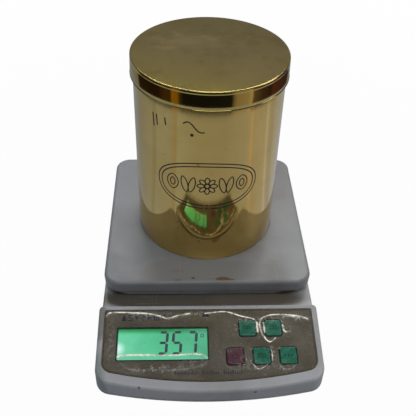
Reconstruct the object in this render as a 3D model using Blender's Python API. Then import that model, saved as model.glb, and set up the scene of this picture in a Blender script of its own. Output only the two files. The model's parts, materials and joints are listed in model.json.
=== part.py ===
"""Electronic compact kitchen scale with a lidded brass canister standing on its tray.

Row frame: metres, +Z up, the display console faces -Y. The origin is the middle of the
footprint, on the surface that the feet stand on.
"""

import math

import bmesh
import bpy
from mathutils import Matrix, Vector

MM = 0.001
TOUCH = 0.3 * MM  # gap between two pieces that touch

# Base housing, seen from above
REAR_Y = 123.5 * MM
FRONT_Y = -123.5 * MM
NECK_HALF = 83.0 * MM  # half width under the tray
NECK_CORNER = 12.0 * MM
CONSOLE_HALF = 84.8 * MM
CONSOLE_BACK_Y = -54.7 * MM
CONSOLE_CORNER = 12.0 * MM
CONSOLE_BACK_CORNER = 3.0 * MM
FRONT_ARC = 380.0 * MM  # radius of the bowed front wall
NECK_INTO_CONSOLE = 12.0 * MM

# Base housing, heights
HOUSING_LOW = 4.0 * MM
PARTING_Z = 6.8 * MM  # seam between the two housings
BOTTOM_EDGE = 2.2 * MM  # rounding of the lower edge all round
POST_Z = 10.0 * MM  # where the screw posts of the two housings meet
DECK_Z = 29.5 * MM
RIM_Z = 32.9 * MM  # console rim at its back edge
TILT = math.radians(12.24)  # slope of the console towards the user
WALL = 2.2 * MM
FLOOR = 2.0 * MM

# Console face, in the console frame: x, y up the slope from the rim's back edge, z out of the face
PANEL_HALF = 80.5 * MM
PANEL_BACK = -3.3 * MM
PANEL_FRONT = -62.7 * MM
PANEL_ARC = 350.0 * MM
PANEL_CORNER = 9.0 * MM
PANEL_BACK_CORNER = 1.2 * MM
RECESS = 1.2 * MM
OVERLAY = 0.5 * MM
CEILING = 3.2 * MM  # console wall's underside below the rim
WINDOW = (-35.45 * MM, -32.05 * MM, 33.95 * MM, 12.95 * MM)  # centre x, y and half sizes
KEY_HALF = (6.15 * MM, 6.6 * MM)
KEY_CLEARANCE = 0.35 * MM
KEY_PROUD = 0.6 * MM
KEYS = {
    "key_units": (29.15 * MM, -19.9 * MM),
    "key_count": (49.0 * MM, -19.9 * MM),
    "key_power": (18.75 * MM, -42.9 * MM),
    "key_mode": (38.7 * MM, -42.9 * MM),
    "key_tare": (58.6 * MM, -42.9 * MM),
}
FILM = 0.12 * MM  # clear sheet left on the printed overlay
LENS_THICK, LENS_TOP = 0.8 * MM, -0.45 * MM
LCD_THICK = 1.8 * MM
PCB_TOP = -9.9 * MM
PCB_THICK = 1.6 * MM
PCB_HALF_X = 70.0 * MM
PCB_BACK, PCB_FRONT = -7.0 * MM, -58.0 * MM
PCB_POSTS = [(x * MM, y * MM) for x, y in ((-60, -11.5), (64, -13), (-60, -54), (60, -55))]

# Weighing tray and what carries it
TRAY_Y = 41.0 * MM
TRAY_HALF = 82.5 * MM
TRAY_CORNER = 13.0 * MM
TRAY_TOP = 45.0 * MM
TRAY_LOW = 30.4 * MM
TRAY_LIP_INSET = 0.3 * MM  # foot of the wall's upper band
TRAY_STEP = 34.7 * MM  # height of the step between the wall's two bands
TRAY_FOOT_INSET = 1.1 * MM  # the lower band stands in by this much, with rounder corners
TRAY_FOOT_CORNER = 20.0 * MM
TRAY_WALL = 2.2 * MM
PLATE_HALF = 55.0 * MM
PLATE_LOW, PLATE_TOP = 36.0 * MM, 38.5 * MM
TRAY_SCREW = 45.0 * MM  # from the tray's centre, along X and Y
CELL_HALF_X = 6.35 * MM
CELL_HALF_Y = 40.0 * MM
CELL_LOW, CELL_TOP = 14.0 * MM, 26.7 * MM
CELL_HOLES = (20.0 * MM, 35.0 * MM)  # from the cell's middle, towards each end
CELL_HOLE_R = 2.3 * MM

# Battery bay, under the tray on the left
BAY_X, BAY_HALF_X = -48.0 * MM, 16.5 * MM
BAY_FRONT, BAY_REAR = -18.0 * MM, 40.0 * MM
BAY_TOP = 21.4 * MM
BAY_WALL = 1.5 * MM
DOOR_THICK = 1.6 * MM
CELL_R = 7.1 * MM  # AA cell
AA_PITCH = 14.7 * MM
AA_BODY, AA_NUB = 49.5 * MM, 1.0 * MM
AA_Z = HOUSING_LOW + 0.2 * MM + DOOR_THICK + 0.4 * MM + CELL_R

# Fasteners and feet
FOOT_R, FOOT_HIGH = 7.0 * MM, 3.7 * MM
FEET = {
    "foot_rear_right": (66 * MM, 106 * MM),
    "foot_rear_left": (-66 * MM, 106 * MM),
    "foot_front_left": (-66 * MM, -104 * MM),
    "foot_front_right": (66 * MM, -104 * MM),
}
HOUSING_SCREWS = [(x * MM, y * MM) for x, y in ((74, 85), (-74, 85), (-76, -88), (76, -88))]
JACK_X, JACK_Z = 50.0 * MM, 19.0 * MM

# Brass canister, 4.5 inches across
CAN_R = 57.15 * MM
CAN_SHEET = 0.5 * MM
CAN_LOW = TRAY_TOP + TOUCH
CAN_FLOOR = TRAY_TOP + 2.3 * MM
LID_TOP = 201.7 * MM
LID_R = 59.1 * MM
LID_SHEET = 0.5 * MM
LID_SKIRT = 15.6 * MM
CAN_RIM = LID_TOP - LID_SHEET - TOUCH

ROUND = 16  # sides of small round pieces
SCREW_ROUND = 10  # sides of screws and screw holes
CAN_ROUND = 60  # sides of the canister


# ---------- outlines: lists of (x, y), anticlockwise seen from above ----------

def arc(centre, radius, start, end, steps):
    """Points of an arc, both ends included, angles in radians."""
    turns = [start + (end - start) * step / steps for step in range(steps + 1)]
    return [(centre[0] + radius * math.cos(t), centre[1] + radius * math.sin(t)) for t in turns]


def circle(radius, sides=ROUND, centre=(0.0, 0.0)):
    return arc(centre, radius, 0.0, 2 * math.pi, sides)[:-1]


def rounded_rectangle(half_x, half_y, radius, centre=(0.0, 0.0), steps=5):
    points = []
    for quarter, (side_x, side_y) in enumerate(((1, 1), (-1, 1), (-1, -1), (1, -1))):
        corner = (
            centre[0] + side_x * (half_x - radius),
            centre[1] + side_y * (half_y - radius),
        )
        start = quarter * math.pi / 2
        points += arc(corner, radius, start, start + math.pi / 2, steps)
    return points


def bowed_outline(half, back, front, bow, corner, back_corner):
    """A straight back, parallel sides and a front wall bowed to the radius bow."""
    right = arc((half - back_corner, back - back_corner), back_corner, 0, math.pi / 2, 3)
    left = [(-x, y) for x, y in reversed(right)]
    bow_centre = front + bow
    reach = half - corner
    corner_y = bow_centre - math.sqrt((bow - corner) ** 2 - reach**2)
    lean = math.atan2(corner_y - bow_centre, -reach)  # towards the left corner, negative
    left_corner = arc((-reach, corner_y), corner, math.pi, 2 * math.pi + lean, 6)
    right_corner = [(-x, y) for x, y in reversed(left_corner)]
    bowed = arc((0.0, bow_centre), bow, lean, -math.pi - lean, 14)[1:-1]
    return right + left + left_corner + bowed + right_corner


def console_outline(inset=0.0):
    return bowed_outline(
        CONSOLE_HALF - inset,
        CONSOLE_BACK_Y - inset,
        FRONT_Y + inset,
        FRONT_ARC - inset,
        CONSOLE_CORNER - inset,
        max(CONSOLE_BACK_CORNER - inset, 0.5 * MM),
    )


def neck_outline(inset=0.0):
    """The housing under the tray, run on into the console so that the two join."""
    half, rear, radius = NECK_HALF - inset, REAR_Y - inset, NECK_CORNER - inset
    front = CONSOLE_BACK_Y - NECK_INTO_CONSOLE
    right = arc((half - radius, rear - radius), radius, 0, math.pi / 2, 6)
    left = [(-x, y) for x, y in reversed(right)]
    return right + left + [(-half, front), (half, front)]


def panel_outline(inset=0.0):
    """The recess in the console face, in the console frame."""
    return bowed_outline(
        PANEL_HALF - inset,
        PANEL_BACK - inset,
        PANEL_FRONT + inset,
        PANEL_ARC - inset,
        PANEL_CORNER - inset,
        PANEL_BACK_CORNER,
    )


def rim_height(y, drop=0.0):
    """Height of the sloping console face at y, lowered square to the slope by drop."""
    return RIM_Z + (y - CONSOLE_BACK_Y) * math.tan(TILT) - drop / math.cos(TILT)


# ---------- solids ----------

def ring(outline, height):
    """The outline as 3-D points. height is a number, or a function of y."""
    return [(x, y, height(y) if callable(height) else height) for x, y in outline]


def loft(name, rings, material=None, closed=False):
    """A solid through rings of equal point count, with flat ends or, if closed, joined into a loop."""
    bm = bmesh.new()
    loops = [[bm.verts.new(point) for point in points] for points in rings]
    pairs = list(zip(loops, loops[1:]))
    if closed:
        pairs.append((loops[-1], loops[0]))
    else:
        bm.faces.new(loops[0])
        bm.faces.new(loops[-1])
    for low, high in pairs:
        for index in range(len(low)):
            after = (index + 1) % len(low)
            bm.faces.new((low[index], low[after], high[after], high[index]))
    bmesh.ops.recalc_face_normals(bm, faces=bm.faces)
    mesh = bpy.data.meshes.new(name)
    bm.to_mesh(mesh)
    bm.free()
    mesh.shade_smooth()
    mesh.set_sharp_from_angle(angle=math.radians(35))
    obj = bpy.data.objects.new(name, mesh)
    bpy.context.scene.collection.objects.link(obj)
    if material:
        mesh.materials.append(material)
    return obj


def prism(name, outline, low, high, material=None):
    return loft(name, [ring(outline, low), ring(outline, high)], material)


def turned(name, profile, material=None, sides=ROUND, centre=(0.0, 0.0), closed=False):
    """A turned piece on a vertical axis, through (radius, z) points."""
    rings = [ring(circle(radius, sides, centre), z) for radius, z in profile]
    return loft(name, rings, material, closed)


def change(target, operation, tools):
    """Joins each tool to the target, or cuts it from the target."""
    for tool in tools:
        modifier = target.modifiers.new(tool.name, "BOOLEAN")
        modifier.operation = operation
        modifier.solver = "EXACT"
        modifier.object = tool
        tool.hide_render = True
        tool.display_type = "WIRE"
    return target


def join(target, *tools):
    return change(target, "UNION", tools)


def cut(target, *tools):
    return change(target, "DIFFERENCE", tools)


def on_console(obj, frame, x=0.0, y=0.0):
    """Puts a piece modelled about its own origin on the console face."""
    obj.parent = frame
    obj.location = (x, y, 0.0)
    return obj


def along_y(obj, x, y, z):
    """Lays a piece turned about Z along +Y, its foot at the point."""
    obj.matrix_world = Matrix.Translation((x, y, z)) @ Matrix.Rotation(-math.pi / 2, 4, "X")
    return obj


def smooth_route(points, per_span=3):
    """A Catmull-Rom curve through the route's own points."""
    route = [Vector(p) for p in points]
    ends = [2 * route[0] - route[1], *route, 2 * route[-1] - route[-2]]
    made = []
    for a, b, c, d in zip(ends, ends[1:], ends[2:], ends[3:]):
        for step in range(per_span):
            t = step / per_span
            made.append(
                0.5 * (2 * b + (c - a) * t + (2 * a - 5 * b + 4 * c - d) * t**2
                       + (3 * b - a - 3 * c + d) * t**3)
            )
    return [*made, route[-1]]


def wire(name, points, radius, material):
    """A round wire along the points, with closed ends."""
    curve = bpy.data.curves.new(name, "CURVE")
    curve.dimensions = "3D"
    curve.bevel_depth = radius
    curve.bevel_resolution = 1
    curve.use_fill_caps = True
    spline = curve.splines.new("POLY")
    spline.points.add(len(points) - 1)
    for spot, point in zip(spline.points, points):
        spot.co = (*point, 1.0)
    curve.materials.append(material)
    obj = bpy.data.objects.new(name, curve)
    bpy.context.scene.collection.objects.link(obj)
    return obj


def screw(name, x, y, seat, tip, head_r, shank_r, material, head=2.2 * MM):
    """A pan-head screw driven from seat towards tip, up or down, with a cross recess."""
    way = 1 if tip > seat else -1
    profile = [(head_r * 0.8, seat - way * head), (head_r, seat - way * head * 0.6)]
    profile += [(head_r, seat), (shank_r, seat), (shank_r, tip - way * shank_r), (0.2 * MM, tip)]
    made = turned(name, profile, material, SCREW_ROUND, (x, y))
    deep = seat - way * head
    long, short = 1.3 * MM, 0.35 * MM
    cross = [(long, short), (short, short), (short, long)]
    cross += [(-a, b) for a, b in reversed(cross)]
    cross += [(-a, -b) for a, b in cross]
    recess = [(x + a, y + b) for a, b in cross]
    return cut(made, prism(name + "_recess", recess, deep - way * MM, deep + way * MM))


def material(name, colour, roughness, metallic=0.0, alpha=1.0):
    made = bpy.data.materials.new(name)
    made.use_nodes = True
    shader = made.node_tree.nodes["Principled BSDF"]
    shader.inputs["Base Color"].default_value = (*colour, 1.0)
    shader.inputs["Roughness"].default_value = roughness
    shader.inputs["Metallic"].default_value = metallic
    shader.inputs["Alpha"].default_value = alpha
    return made


# ---------- base housing ----------

def housing_block(name, inset, low, deck, drop, shell):
    """The plan of the housing as a solid. The console part slopes, lowered by drop."""
    console = loft(
        name,
        [ring(console_outline(inset), low), ring(console_outline(inset), lambda y: rim_height(y, drop))],
        shell,
    )
    return join(console, prism(name + "_neck", neck_outline(inset), low, deck))


def upper_housing(frame, shell):
    low = PARTING_Z + TOUCH / 2
    body = housing_block("upper_housing", 0.0, low, DECK_Z, 0.0, shell)
    hollow = housing_block("upper_hollow", WALL, low - 4 * MM, DECK_Z - WALL, CEILING, None)
    cut(body, hollow)
    for index, (x, y) in enumerate(HOUSING_SCREWS):
        top = 28.3 * MM if y > 0 else 23.4 * MM
        post_low = POST_Z + TOUCH / 2
        post = prism(f"upper_post_{index}", circle(3.5 * MM, 12, (x, y)), post_low, top)
        bore_top = 21 * MM if y > 0 else 18 * MM
        bore = prism(f"upper_bore_{index}", circle(1.65 * MM, SCREW_ROUND, (x, y)), post_low - MM, bore_top)
        join(body, post)
        cut(body, bore)
    for index, (x, y) in enumerate(PCB_POSTS):
        foot = PCB_TOP + TOUCH
        post = prism(f"pcb_post_{index}", circle(2.4 * MM, SCREW_ROUND), foot, -2.4 * MM)
        bore = prism(f"pcb_bore_{index}", circle(1.25 * MM, 8), foot - MM, -5.5 * MM)
        join(body, on_console(post, frame, x, y))
        cut(body, on_console(bore, frame, x, y))
    cut(body, on_console(prism("panel_recess", panel_outline(), -RECESS, 5 * MM), frame))
    cut(body, *console_openings("housing", frame))
    spacer = rounded_rectangle(15 * MM, 17 * MM, 2 * MM, (0, 13 * MM))
    cut(body, prism("deck_opening", spacer, DECK_Z - 6 * MM, DECK_Z + 6 * MM))
    jack = turned("jack_opening", [(4.0 * MM, -6 * MM), (4.0 * MM, 6 * MM)])
    return cut(body, along_y(jack, JACK_X, REAR_Y, JACK_Z))


def console_openings(owner, frame):
    """Cutters for the display window and the keys, in the console frame."""
    x, y, half_x, half_y = WINDOW
    window = prism(f"{owner}_window", rounded_rectangle(half_x, half_y, 0.6 * MM), -8 * MM, 6 * MM)
    return [on_console(window, frame, x, y), *key_openings(owner, frame)]


def key_openings(owner, frame):
    cutters = []
    for name, (x, y) in KEYS.items():
        outline = rounded_rectangle(*(half + KEY_CLEARANCE for half in KEY_HALF), 2.0 * MM, steps=2)
        hole = prism(f"{owner}_hole_for_{name}", outline, -8 * MM, 6 * MM)
        cutters.append(on_console(hole, frame, x, y))
    return cutters


def lower_housing(shell):
    high = PARTING_Z - TOUCH / 2
    edge = BOTTOM_EDGE
    steps = [(edge * (1 - math.sin(turn)), HOUSING_LOW + edge * (1 - math.cos(turn)))
             for turn in (0.0, math.pi / 6, math.pi / 3, math.pi / 2)]
    steps.append((0.0, high))
    flat = loft("lower_housing", [ring(console_outline(inset), z) for inset, z in steps], shell)
    join(flat, loft("lower_neck", [ring(neck_outline(inset), z) for inset, z in steps]))
    hollow_low = HOUSING_LOW + FLOOR
    hollow = prism("lower_hollow", console_outline(WALL), hollow_low, high + MM)
    join(hollow, prism("lower_hollow_neck", neck_outline(WALL), hollow_low, high + MM))
    cut(flat, hollow)
    for index, (x, y) in enumerate(HOUSING_SCREWS):
        boss_high = POST_Z - TOUCH / 2
        boss = prism(f"lower_boss_{index}", circle(4.6 * MM, 12, (x, y)), HOUSING_LOW + MM, boss_high)
        head_way = [(3.3 * MM, 0.0), (3.3 * MM, 7.2 * MM), (1.7 * MM, 7.2 * MM), (1.7 * MM, 12 * MM)]
        bore = turned(f"lower_bore_{index}", head_way, None, SCREW_ROUND, (x, y))
        join(flat, boss)
        cut(flat, bore)
    riser_y = TRAY_Y + sum(CELL_HOLES) / 2
    riser = rounded_rectangle(9 * MM, 13.5 * MM, 2 * MM, (0, riser_y))
    join(flat, prism("cell_riser", riser, HOUSING_LOW + MM, CELL_LOW - TOUCH))
    for index, offset in enumerate(CELL_HOLES):
        head_way = [(4.4 * MM, 0.0), (4.4 * MM, 8 * MM), (2.4 * MM, 8 * MM), (2.4 * MM, 16 * MM)]
        cut(flat, turned(f"riser_bore_{index}", head_way, None, SCREW_ROUND, (0, TRAY_Y + offset)))
    stop = (0, TRAY_Y - CELL_HOLES[1] + 3 * MM)
    join(flat, prism("stop_boss", circle(5 * MM, 12, stop), HOUSING_LOW + MM, 9.5 * MM))
    cut(flat, prism("stop_bore", circle(2.6 * MM, SCREW_ROUND, stop), 0.0, 12 * MM))
    middle_y = (BAY_FRONT + BAY_REAR) / 2
    half_y = (BAY_REAR - BAY_FRONT) / 2
    box = [(BAY_HALF_X + wall, half_y + wall) for wall in (BAY_WALL, 0.0)]
    outer, inner = (rounded_rectangle(*half, MM, (BAY_X, middle_y), 2) for half in box)
    join(flat, prism("bay_box", outer, HOUSING_LOW + MM, BAY_TOP + BAY_WALL))
    return cut(flat, prism("bay_inside", inner, 0.0, BAY_TOP))


def feet(rubber):
    for name, (x, y) in FEET.items():
        profile = [(FOOT_R - MM, 0.0), (FOOT_R, MM), (FOOT_R, FOOT_HIGH)]
        turned(name, profile, rubber, ROUND, (x, y))


# ---------- console ----------

def overlay_and_display(frame, printed, clear, glass, backlight):
    """The printed sheet in the recess, the film on it, and the display in its window."""
    top = -RECESS + TOUCH + OVERLAY
    sheet = on_console(prism("panel_overlay", panel_outline(TOUCH), top - OVERLAY, top, printed), frame)
    cut(sheet, *console_openings("overlay", frame))
    x, y, half_x, half_y = WINDOW
    pane = rounded_rectangle(half_x - TOUCH, half_y - TOUCH, 0.5 * MM, steps=2)
    lens_low = LENS_TOP - LENS_THICK
    on_console(prism("lcd_lens", pane, lens_low, LENS_TOP, clear), frame, x, y)
    cell_top = lens_low - TOUCH
    on_console(prism("lcd_glass", pane, cell_top - LCD_THICK, cell_top, glass), frame, x, y)
    block = rounded_rectangle(half_x + 2.35 * MM, half_y + 3.0 * MM, 0.5 * MM, steps=1)
    block_top = -CEILING - 1.5 * TOUCH
    on_console(prism("lcd_backlight", block, block_top - 3 * MM, block_top, backlight), frame, x, y)
    film_low = top + TOUCH
    film = prism("panel_film", panel_outline(1.5 * TOUCH), film_low, film_low + FILM, clear)
    cut(on_console(film, frame), *key_openings("film", frame))


def key(name, x, y, frame, plastic):
    """A key cap with its guide, flange and plunger, on its own spot of the console face."""
    half_x, half_y = KEY_HALF

    def outline(grow, radius=1.7 * MM):
        return rounded_rectangle(half_x + grow, half_y + grow, radius, steps=2)

    flange_top = -CEILING - TOUCH
    flange_low = flange_top - 1.0 * MM
    plunger = rounded_rectangle(1.6 * MM, 1.6 * MM, 0.4 * MM, steps=2)
    rings = [
        ring(outline(-1.1 * MM, 1.2 * MM), KEY_PROUD),
        ring(outline(-0.4 * MM), KEY_PROUD - 0.25 * MM),
        ring(outline(0.0), KEY_PROUD - 0.8 * MM),
        ring(outline(0.0), flange_top),
        ring(outline(1.6 * MM), flange_top),
        ring(outline(1.6 * MM), flange_low),
        ring(plunger, flange_low),
        ring(plunger, -6.0 * MM),
    ]
    return on_console(loft(name, rings, plastic), frame, x, y)


def board(frame, laminate, black, steel):
    half_y = (PCB_BACK - PCB_FRONT) / 2
    middle = (PCB_BACK + PCB_FRONT) / 2
    outline = rounded_rectangle(PCB_HALF_X, half_y, 2 * MM, steps=2)
    low = PCB_TOP - PCB_THICK
    pcb = on_console(prism("main_pcb", outline, low, PCB_TOP, laminate), frame, 0.0, middle)
    for index, (x, y) in enumerate(PCB_POSTS):
        hole = prism(f"pcb_hole_{index}", circle(1.3 * MM, 12), low - MM, PCB_TOP + MM)
        cut(pcb, on_console(hole, frame, x, y))
        seat = low - TOUCH
        fastener = screw(
            f"pcb_screw_{index + 1}", 0.0, 0.0, seat, -6.2 * MM, 2.2 * MM, 0.9 * MM, steel, 1.4 * MM
        )
        on_console(fastener, frame, x, y)
        on_console(fastener.modifiers[0].object, frame, x, y)
    for index, (x, y) in enumerate(KEYS.values()):
        case = rounded_rectangle(3.0 * MM, 3.0 * MM, 0.3 * MM, steps=2)
        button = circle(1.7 * MM, 12)
        rings = [
            ring(case, PCB_TOP + TOUCH),
            ring(case, PCB_TOP + 2.1 * MM),
            ring(button, PCB_TOP + 2.1 * MM),
            ring(button, PCB_TOP + 2.7 * MM),
        ]
        on_console(loft(f"key_switch_{index + 1}", rings, black), frame, x, y)


# ---------- weighing gear ----------

def load_cell(aluminium):
    """A bending beam: two bores joined by a slot weaken its middle, where the gauges sit."""
    centre = (0.0, TRAY_Y)
    outline = rounded_rectangle(CELL_HALF_X, CELL_HALF_Y, 0.5 * MM, centre, 1)
    bar = prism("load_cell", outline, CELL_LOW, CELL_TOP, aluminium)
    middle_z = (CELL_LOW + CELL_TOP) / 2
    lobes = [(side * 9 * MM, 4.6 * MM) for side in (-1, 1)]
    to_side = Matrix.Translation((0, TRAY_Y, middle_z)) @ Matrix.Rotation(math.pi / 2, 4, "Y")
    for index, (y, radius) in enumerate(lobes):
        bore = prism(f"cell_bore_{index}", circle(radius, 14, (0, y)), -9 * MM, 9 * MM)
        bore.matrix_world = to_side
        cut(bar, bore)
    slot = prism("cell_slot", rounded_rectangle(1.5 * MM, 9 * MM, 0.5 * MM, steps=1), -9 * MM, 9 * MM)
    slot.matrix_world = to_side
    cut(bar, slot)
    for side in (-1, 1):
        for offset in CELL_HOLES:
            place = (0.0, TRAY_Y + side * offset)
            outline = circle(CELL_HOLE_R, SCREW_ROUND, place)
            cut(bar, prism(f"cell_hole_{side * offset:.3f}", outline, 0.0, 40 * MM))
    return bar


def platform_bracket(plastic, steel):
    """A plate under the tray on a spacer that stands on the cell's free end."""
    spacer_y = TRAY_Y - sum(CELL_HOLES) / 2
    foot = rounded_rectangle(11 * MM, 13 * MM, 2 * MM, (0, spacer_y))
    plate = rounded_rectangle(PLATE_HALF, PLATE_HALF, 6 * MM, (0, TRAY_Y))
    rings = [ring(foot, CELL_TOP + 0.35 * MM), ring(foot, PLATE_LOW), ring(plate, PLATE_LOW)]
    bracket = loft("platform_bracket", [*rings, ring(plate, PLATE_TOP)], plastic)
    for index, offset in enumerate(CELL_HOLES):
        place = (0.0, TRAY_Y - offset)
        cut(bracket, prism(f"bracket_bore_{index}", circle(2.4 * MM, SCREW_ROUND, place), 20 * MM, 45 * MM))
        seat = PLATE_TOP + TOUCH
        screw(f"bracket_screw_{index + 1}", *place, seat, 18 * MM, 3.8 * MM, 1.9 * MM, steel)
    for index, (x, y) in enumerate(tray_screw_places()):
        cut(bracket, prism(f"plate_hole_{index}", circle(1.9 * MM, SCREW_ROUND, (x, y)), 30 * MM, 45 * MM))
        seat = PLATE_LOW - TOUCH
        screw(f"tray_screw_{index + 1}", x, y, seat, 41.8 * MM, 3.0 * MM, 1.35 * MM, steel, 2 * MM)


def tray_screw_places():
    return [(sx * TRAY_SCREW, TRAY_Y + sy * TRAY_SCREW) for sx in (-1, 1) for sy in (-1, 1)]


def platform_tray(shell):
    def outline(inset, radius):
        return rounded_rectangle(TRAY_HALF - inset, TRAY_HALF - inset, radius, (0, TRAY_Y))

    edge = 2.5 * MM  # rounding of the top edge
    outer = [
        ring(outline(edge * (1 - math.sin(turn)), TRAY_CORNER - edge * (1 - math.sin(turn))),
             TRAY_TOP - edge * (1 - math.cos(turn)))
        for turn in (0.0, math.pi / 6, math.pi / 3, math.pi / 2)
    ]
    foot = outline(TRAY_FOOT_INSET, TRAY_FOOT_CORNER)
    outer.append(ring(outline(TRAY_LIP_INSET, TRAY_CORNER), TRAY_STEP))
    outer += [ring(foot, TRAY_STEP), ring(foot, TRAY_LOW)]
    inner_foot = outline(TRAY_FOOT_INSET + TRAY_WALL, TRAY_FOOT_CORNER - TRAY_WALL)
    inner_top = outline(TRAY_WALL + 0.8 * MM, TRAY_CORNER - TRAY_WALL)
    inner = [
        ring(inner_foot, TRAY_LOW), ring(inner_foot, TRAY_STEP),
        ring(inner_top, TRAY_STEP + TRAY_WALL), ring(inner_top, TRAY_TOP - TRAY_WALL),
    ]
    tray = loft("platform_tray", outer + inner, shell)
    for index, place in enumerate(tray_screw_places()):
        low = PLATE_TOP + TOUCH
        join(tray, prism(f"tray_boss_{index}", circle(4.0 * MM, 12, place), low, TRAY_TOP - MM))
        cut(tray, prism(f"tray_bore_{index}", circle(1.75 * MM, SCREW_ROUND, place), low - MM, 42.2 * MM))
    return tray


def base_screws(steel):
    for index, (x, y) in enumerate(HOUSING_SCREWS):
        tip = 20 * MM if y > 0 else 16.8 * MM
        screw(f"housing_screw_{index + 1}", x, y, 6.9 * MM, tip, 2.9 * MM, 1.25 * MM, steel)
    for index, offset in enumerate(CELL_HOLES):
        place = (0.0, TRAY_Y + offset)
        screw(f"load_cell_screw_{index + 1}", *place, 7.7 * MM, 24 * MM, 3.9 * MM, 1.9 * MM, steel)
    place = (0.0, TRAY_Y - CELL_HOLES[1] + 3 * MM)
    profile = [(1.8 * MM, 4.8 * MM), (2.2 * MM, 5.2 * MM), (2.2 * MM, 12.8 * MM), (1.6 * MM, 13.4 * MM)]
    turned("overload_stop_screw", profile, steel, SCREW_ROUND, place)


# ---------- power ----------

def batteries(jacket, steel):
    """Two AA cells head to tail. Each has a spring at its flat end and a plate at its button end."""
    for index, way in enumerate((1, -1)):
        x = BAY_X - way * AA_PITCH / 2
        plate_gap = 0.3 * MM
        end = BAY_REAR if way > 0 else BAY_FRONT
        plate = rounded_rectangle(5 * MM, 5 * MM, 0.5 * MM, steps=1)
        strip = prism(f"battery_contact_{index + 1}", plate, 0.0, 0.5 * MM, steel)
        along_y(strip, x, end - plate_gap - 0.5 * MM if way > 0 else end + plate_gap, AA_Z)
        nub_tip = end - way * (2 * plate_gap + 0.5 * MM)
        button = [(CELL_R - 0.6 * MM, 0.0), (CELL_R, 0.6 * MM), (CELL_R, AA_BODY - 0.6 * MM)]
        button += [(CELL_R - 0.6 * MM, AA_BODY), (2.6 * MM, AA_BODY), (2.6 * MM, AA_BODY + AA_NUB)]
        cell = turned(f"battery_{index + 1}", button, jacket)
        spin = Matrix.Rotation(-way * math.pi / 2, 4, "X")
        start = nub_tip - way * (AA_BODY + AA_NUB)
        cell.matrix_world = Matrix.Translation((x, start, AA_Z)) @ spin
        far = BAY_FRONT if way > 0 else BAY_REAR
        coil_spring(f"battery_spring_{index + 1}", x, far + way * 0.8 * MM, start - way * 0.8 * MM, steel)


def coil_spring(name, x, start, end, steel, turns=3, per_turn=8):
    points = []
    for step in range(turns * per_turn + 1):
        share = step / (turns * per_turn)
        radius = (4.4 - 1.6 * share) * MM
        turn = 2 * math.pi * turns * share
        points.append((x + radius * math.cos(turn), start + (end - start) * share,
                       AA_Z + radius * math.sin(turn)))
    return wire(name, points, 0.35 * MM, steel)


def battery_door(shell):
    half_x = BAY_HALF_X - TOUCH
    rear, front = BAY_REAR - TOUCH, BAY_FRONT + TOUCH
    low = HOUSING_LOW + 0.2 * MM
    outline = rounded_rectangle(half_x, (rear - front) / 2, 0.7 * MM, (0.0, (front - rear) / 2), 2)
    door = prism("battery_door", outline, 0.0, DOOR_THICK, shell)
    grip = rounded_rectangle(8 * MM, 3 * MM, 1.5 * MM, (0.0, front - rear + 8 * MM), 3)
    cut(door, prism("door_grip", grip, -MM, 0.7 * MM))
    hinge = bpy.data.objects.new("door_hinge_line", None)
    bpy.context.scene.collection.objects.link(hinge)
    hinge.location = (BAY_X, rear, low)
    door.parent = hinge
    bpy.data.objects["door_grip"].parent = hinge


def dc_jack(black):
    """A 5.5 mm barrel socket with its centre pin, in the rear wall."""
    inner_wall = REAR_Y - WALL - TOUCH
    body_y = inner_wall - 6.75 * MM
    outline = rounded_rectangle(6.5 * MM, 6.75 * MM, 0.5 * MM, (JACK_X, body_y), 1)
    body = prism("dc_jack", outline, JACK_Z - 5.5 * MM, JACK_Z + 5.5 * MM, black)
    nose = turned("jack_nose", [(3.6 * MM, 0.0), (3.6 * MM, 4.2 * MM)])
    join(body, along_y(nose, JACK_X, REAR_Y - 4.4 * MM, JACK_Z))
    bore = turned("jack_bore", [(2.8 * MM, 0.0), (2.8 * MM, 14 * MM)])
    cut(body, along_y(bore, JACK_X, REAR_Y - 11 * MM, JACK_Z))
    pin = turned("jack_pin", [(1.0 * MM, 0.0), (1.0 * MM, 11 * MM)], None, 10)
    return join(body, along_y(pin, JACK_X, REAR_Y - 12.5 * MM, JACK_Z))


def leads(grey, red):
    """The two leads that the housing holds, each ending just under the board."""
    cell_side = CELL_HALF_X + 0.35 * MM
    route = [
        (cell_side, TRAY_Y, 20.3 * MM), (9.5 * MM, TRAY_Y, 20.0 * MM), (12.5 * MM, 37 * MM, 16 * MM),
        (14 * MM, 26 * MM, 10 * MM), (16 * MM, 2 * MM, 8.4 * MM), (19 * MM, -32 * MM, 8.4 * MM),
        (22 * MM, -58 * MM, 9.4 * MM), (23 * MM, -71 * MM, 12.0 * MM), (23 * MM, -75 * MM, 16.2 * MM),
    ]
    wire("load_cell_lead", smooth_route(route), 1.2 * MM, grey)
    wall = BAY_FRONT - BAY_WALL - 0.35 * MM
    route = [
        (BAY_X, wall, 15 * MM), (BAY_X, wall - 4 * MM, 15 * MM), (-47 * MM, -34 * MM, 11 * MM),
        (-46 * MM, -50 * MM, 8.6 * MM), (-46 * MM, -66 * MM, 9 * MM), (-46 * MM, -76 * MM, 11.6 * MM),
        (-46 * MM, -79.5 * MM, 15.0 * MM),
    ]
    wire("battery_lead", smooth_route(route), 1.0 * MM, red)


# ---------- canister ----------

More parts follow.
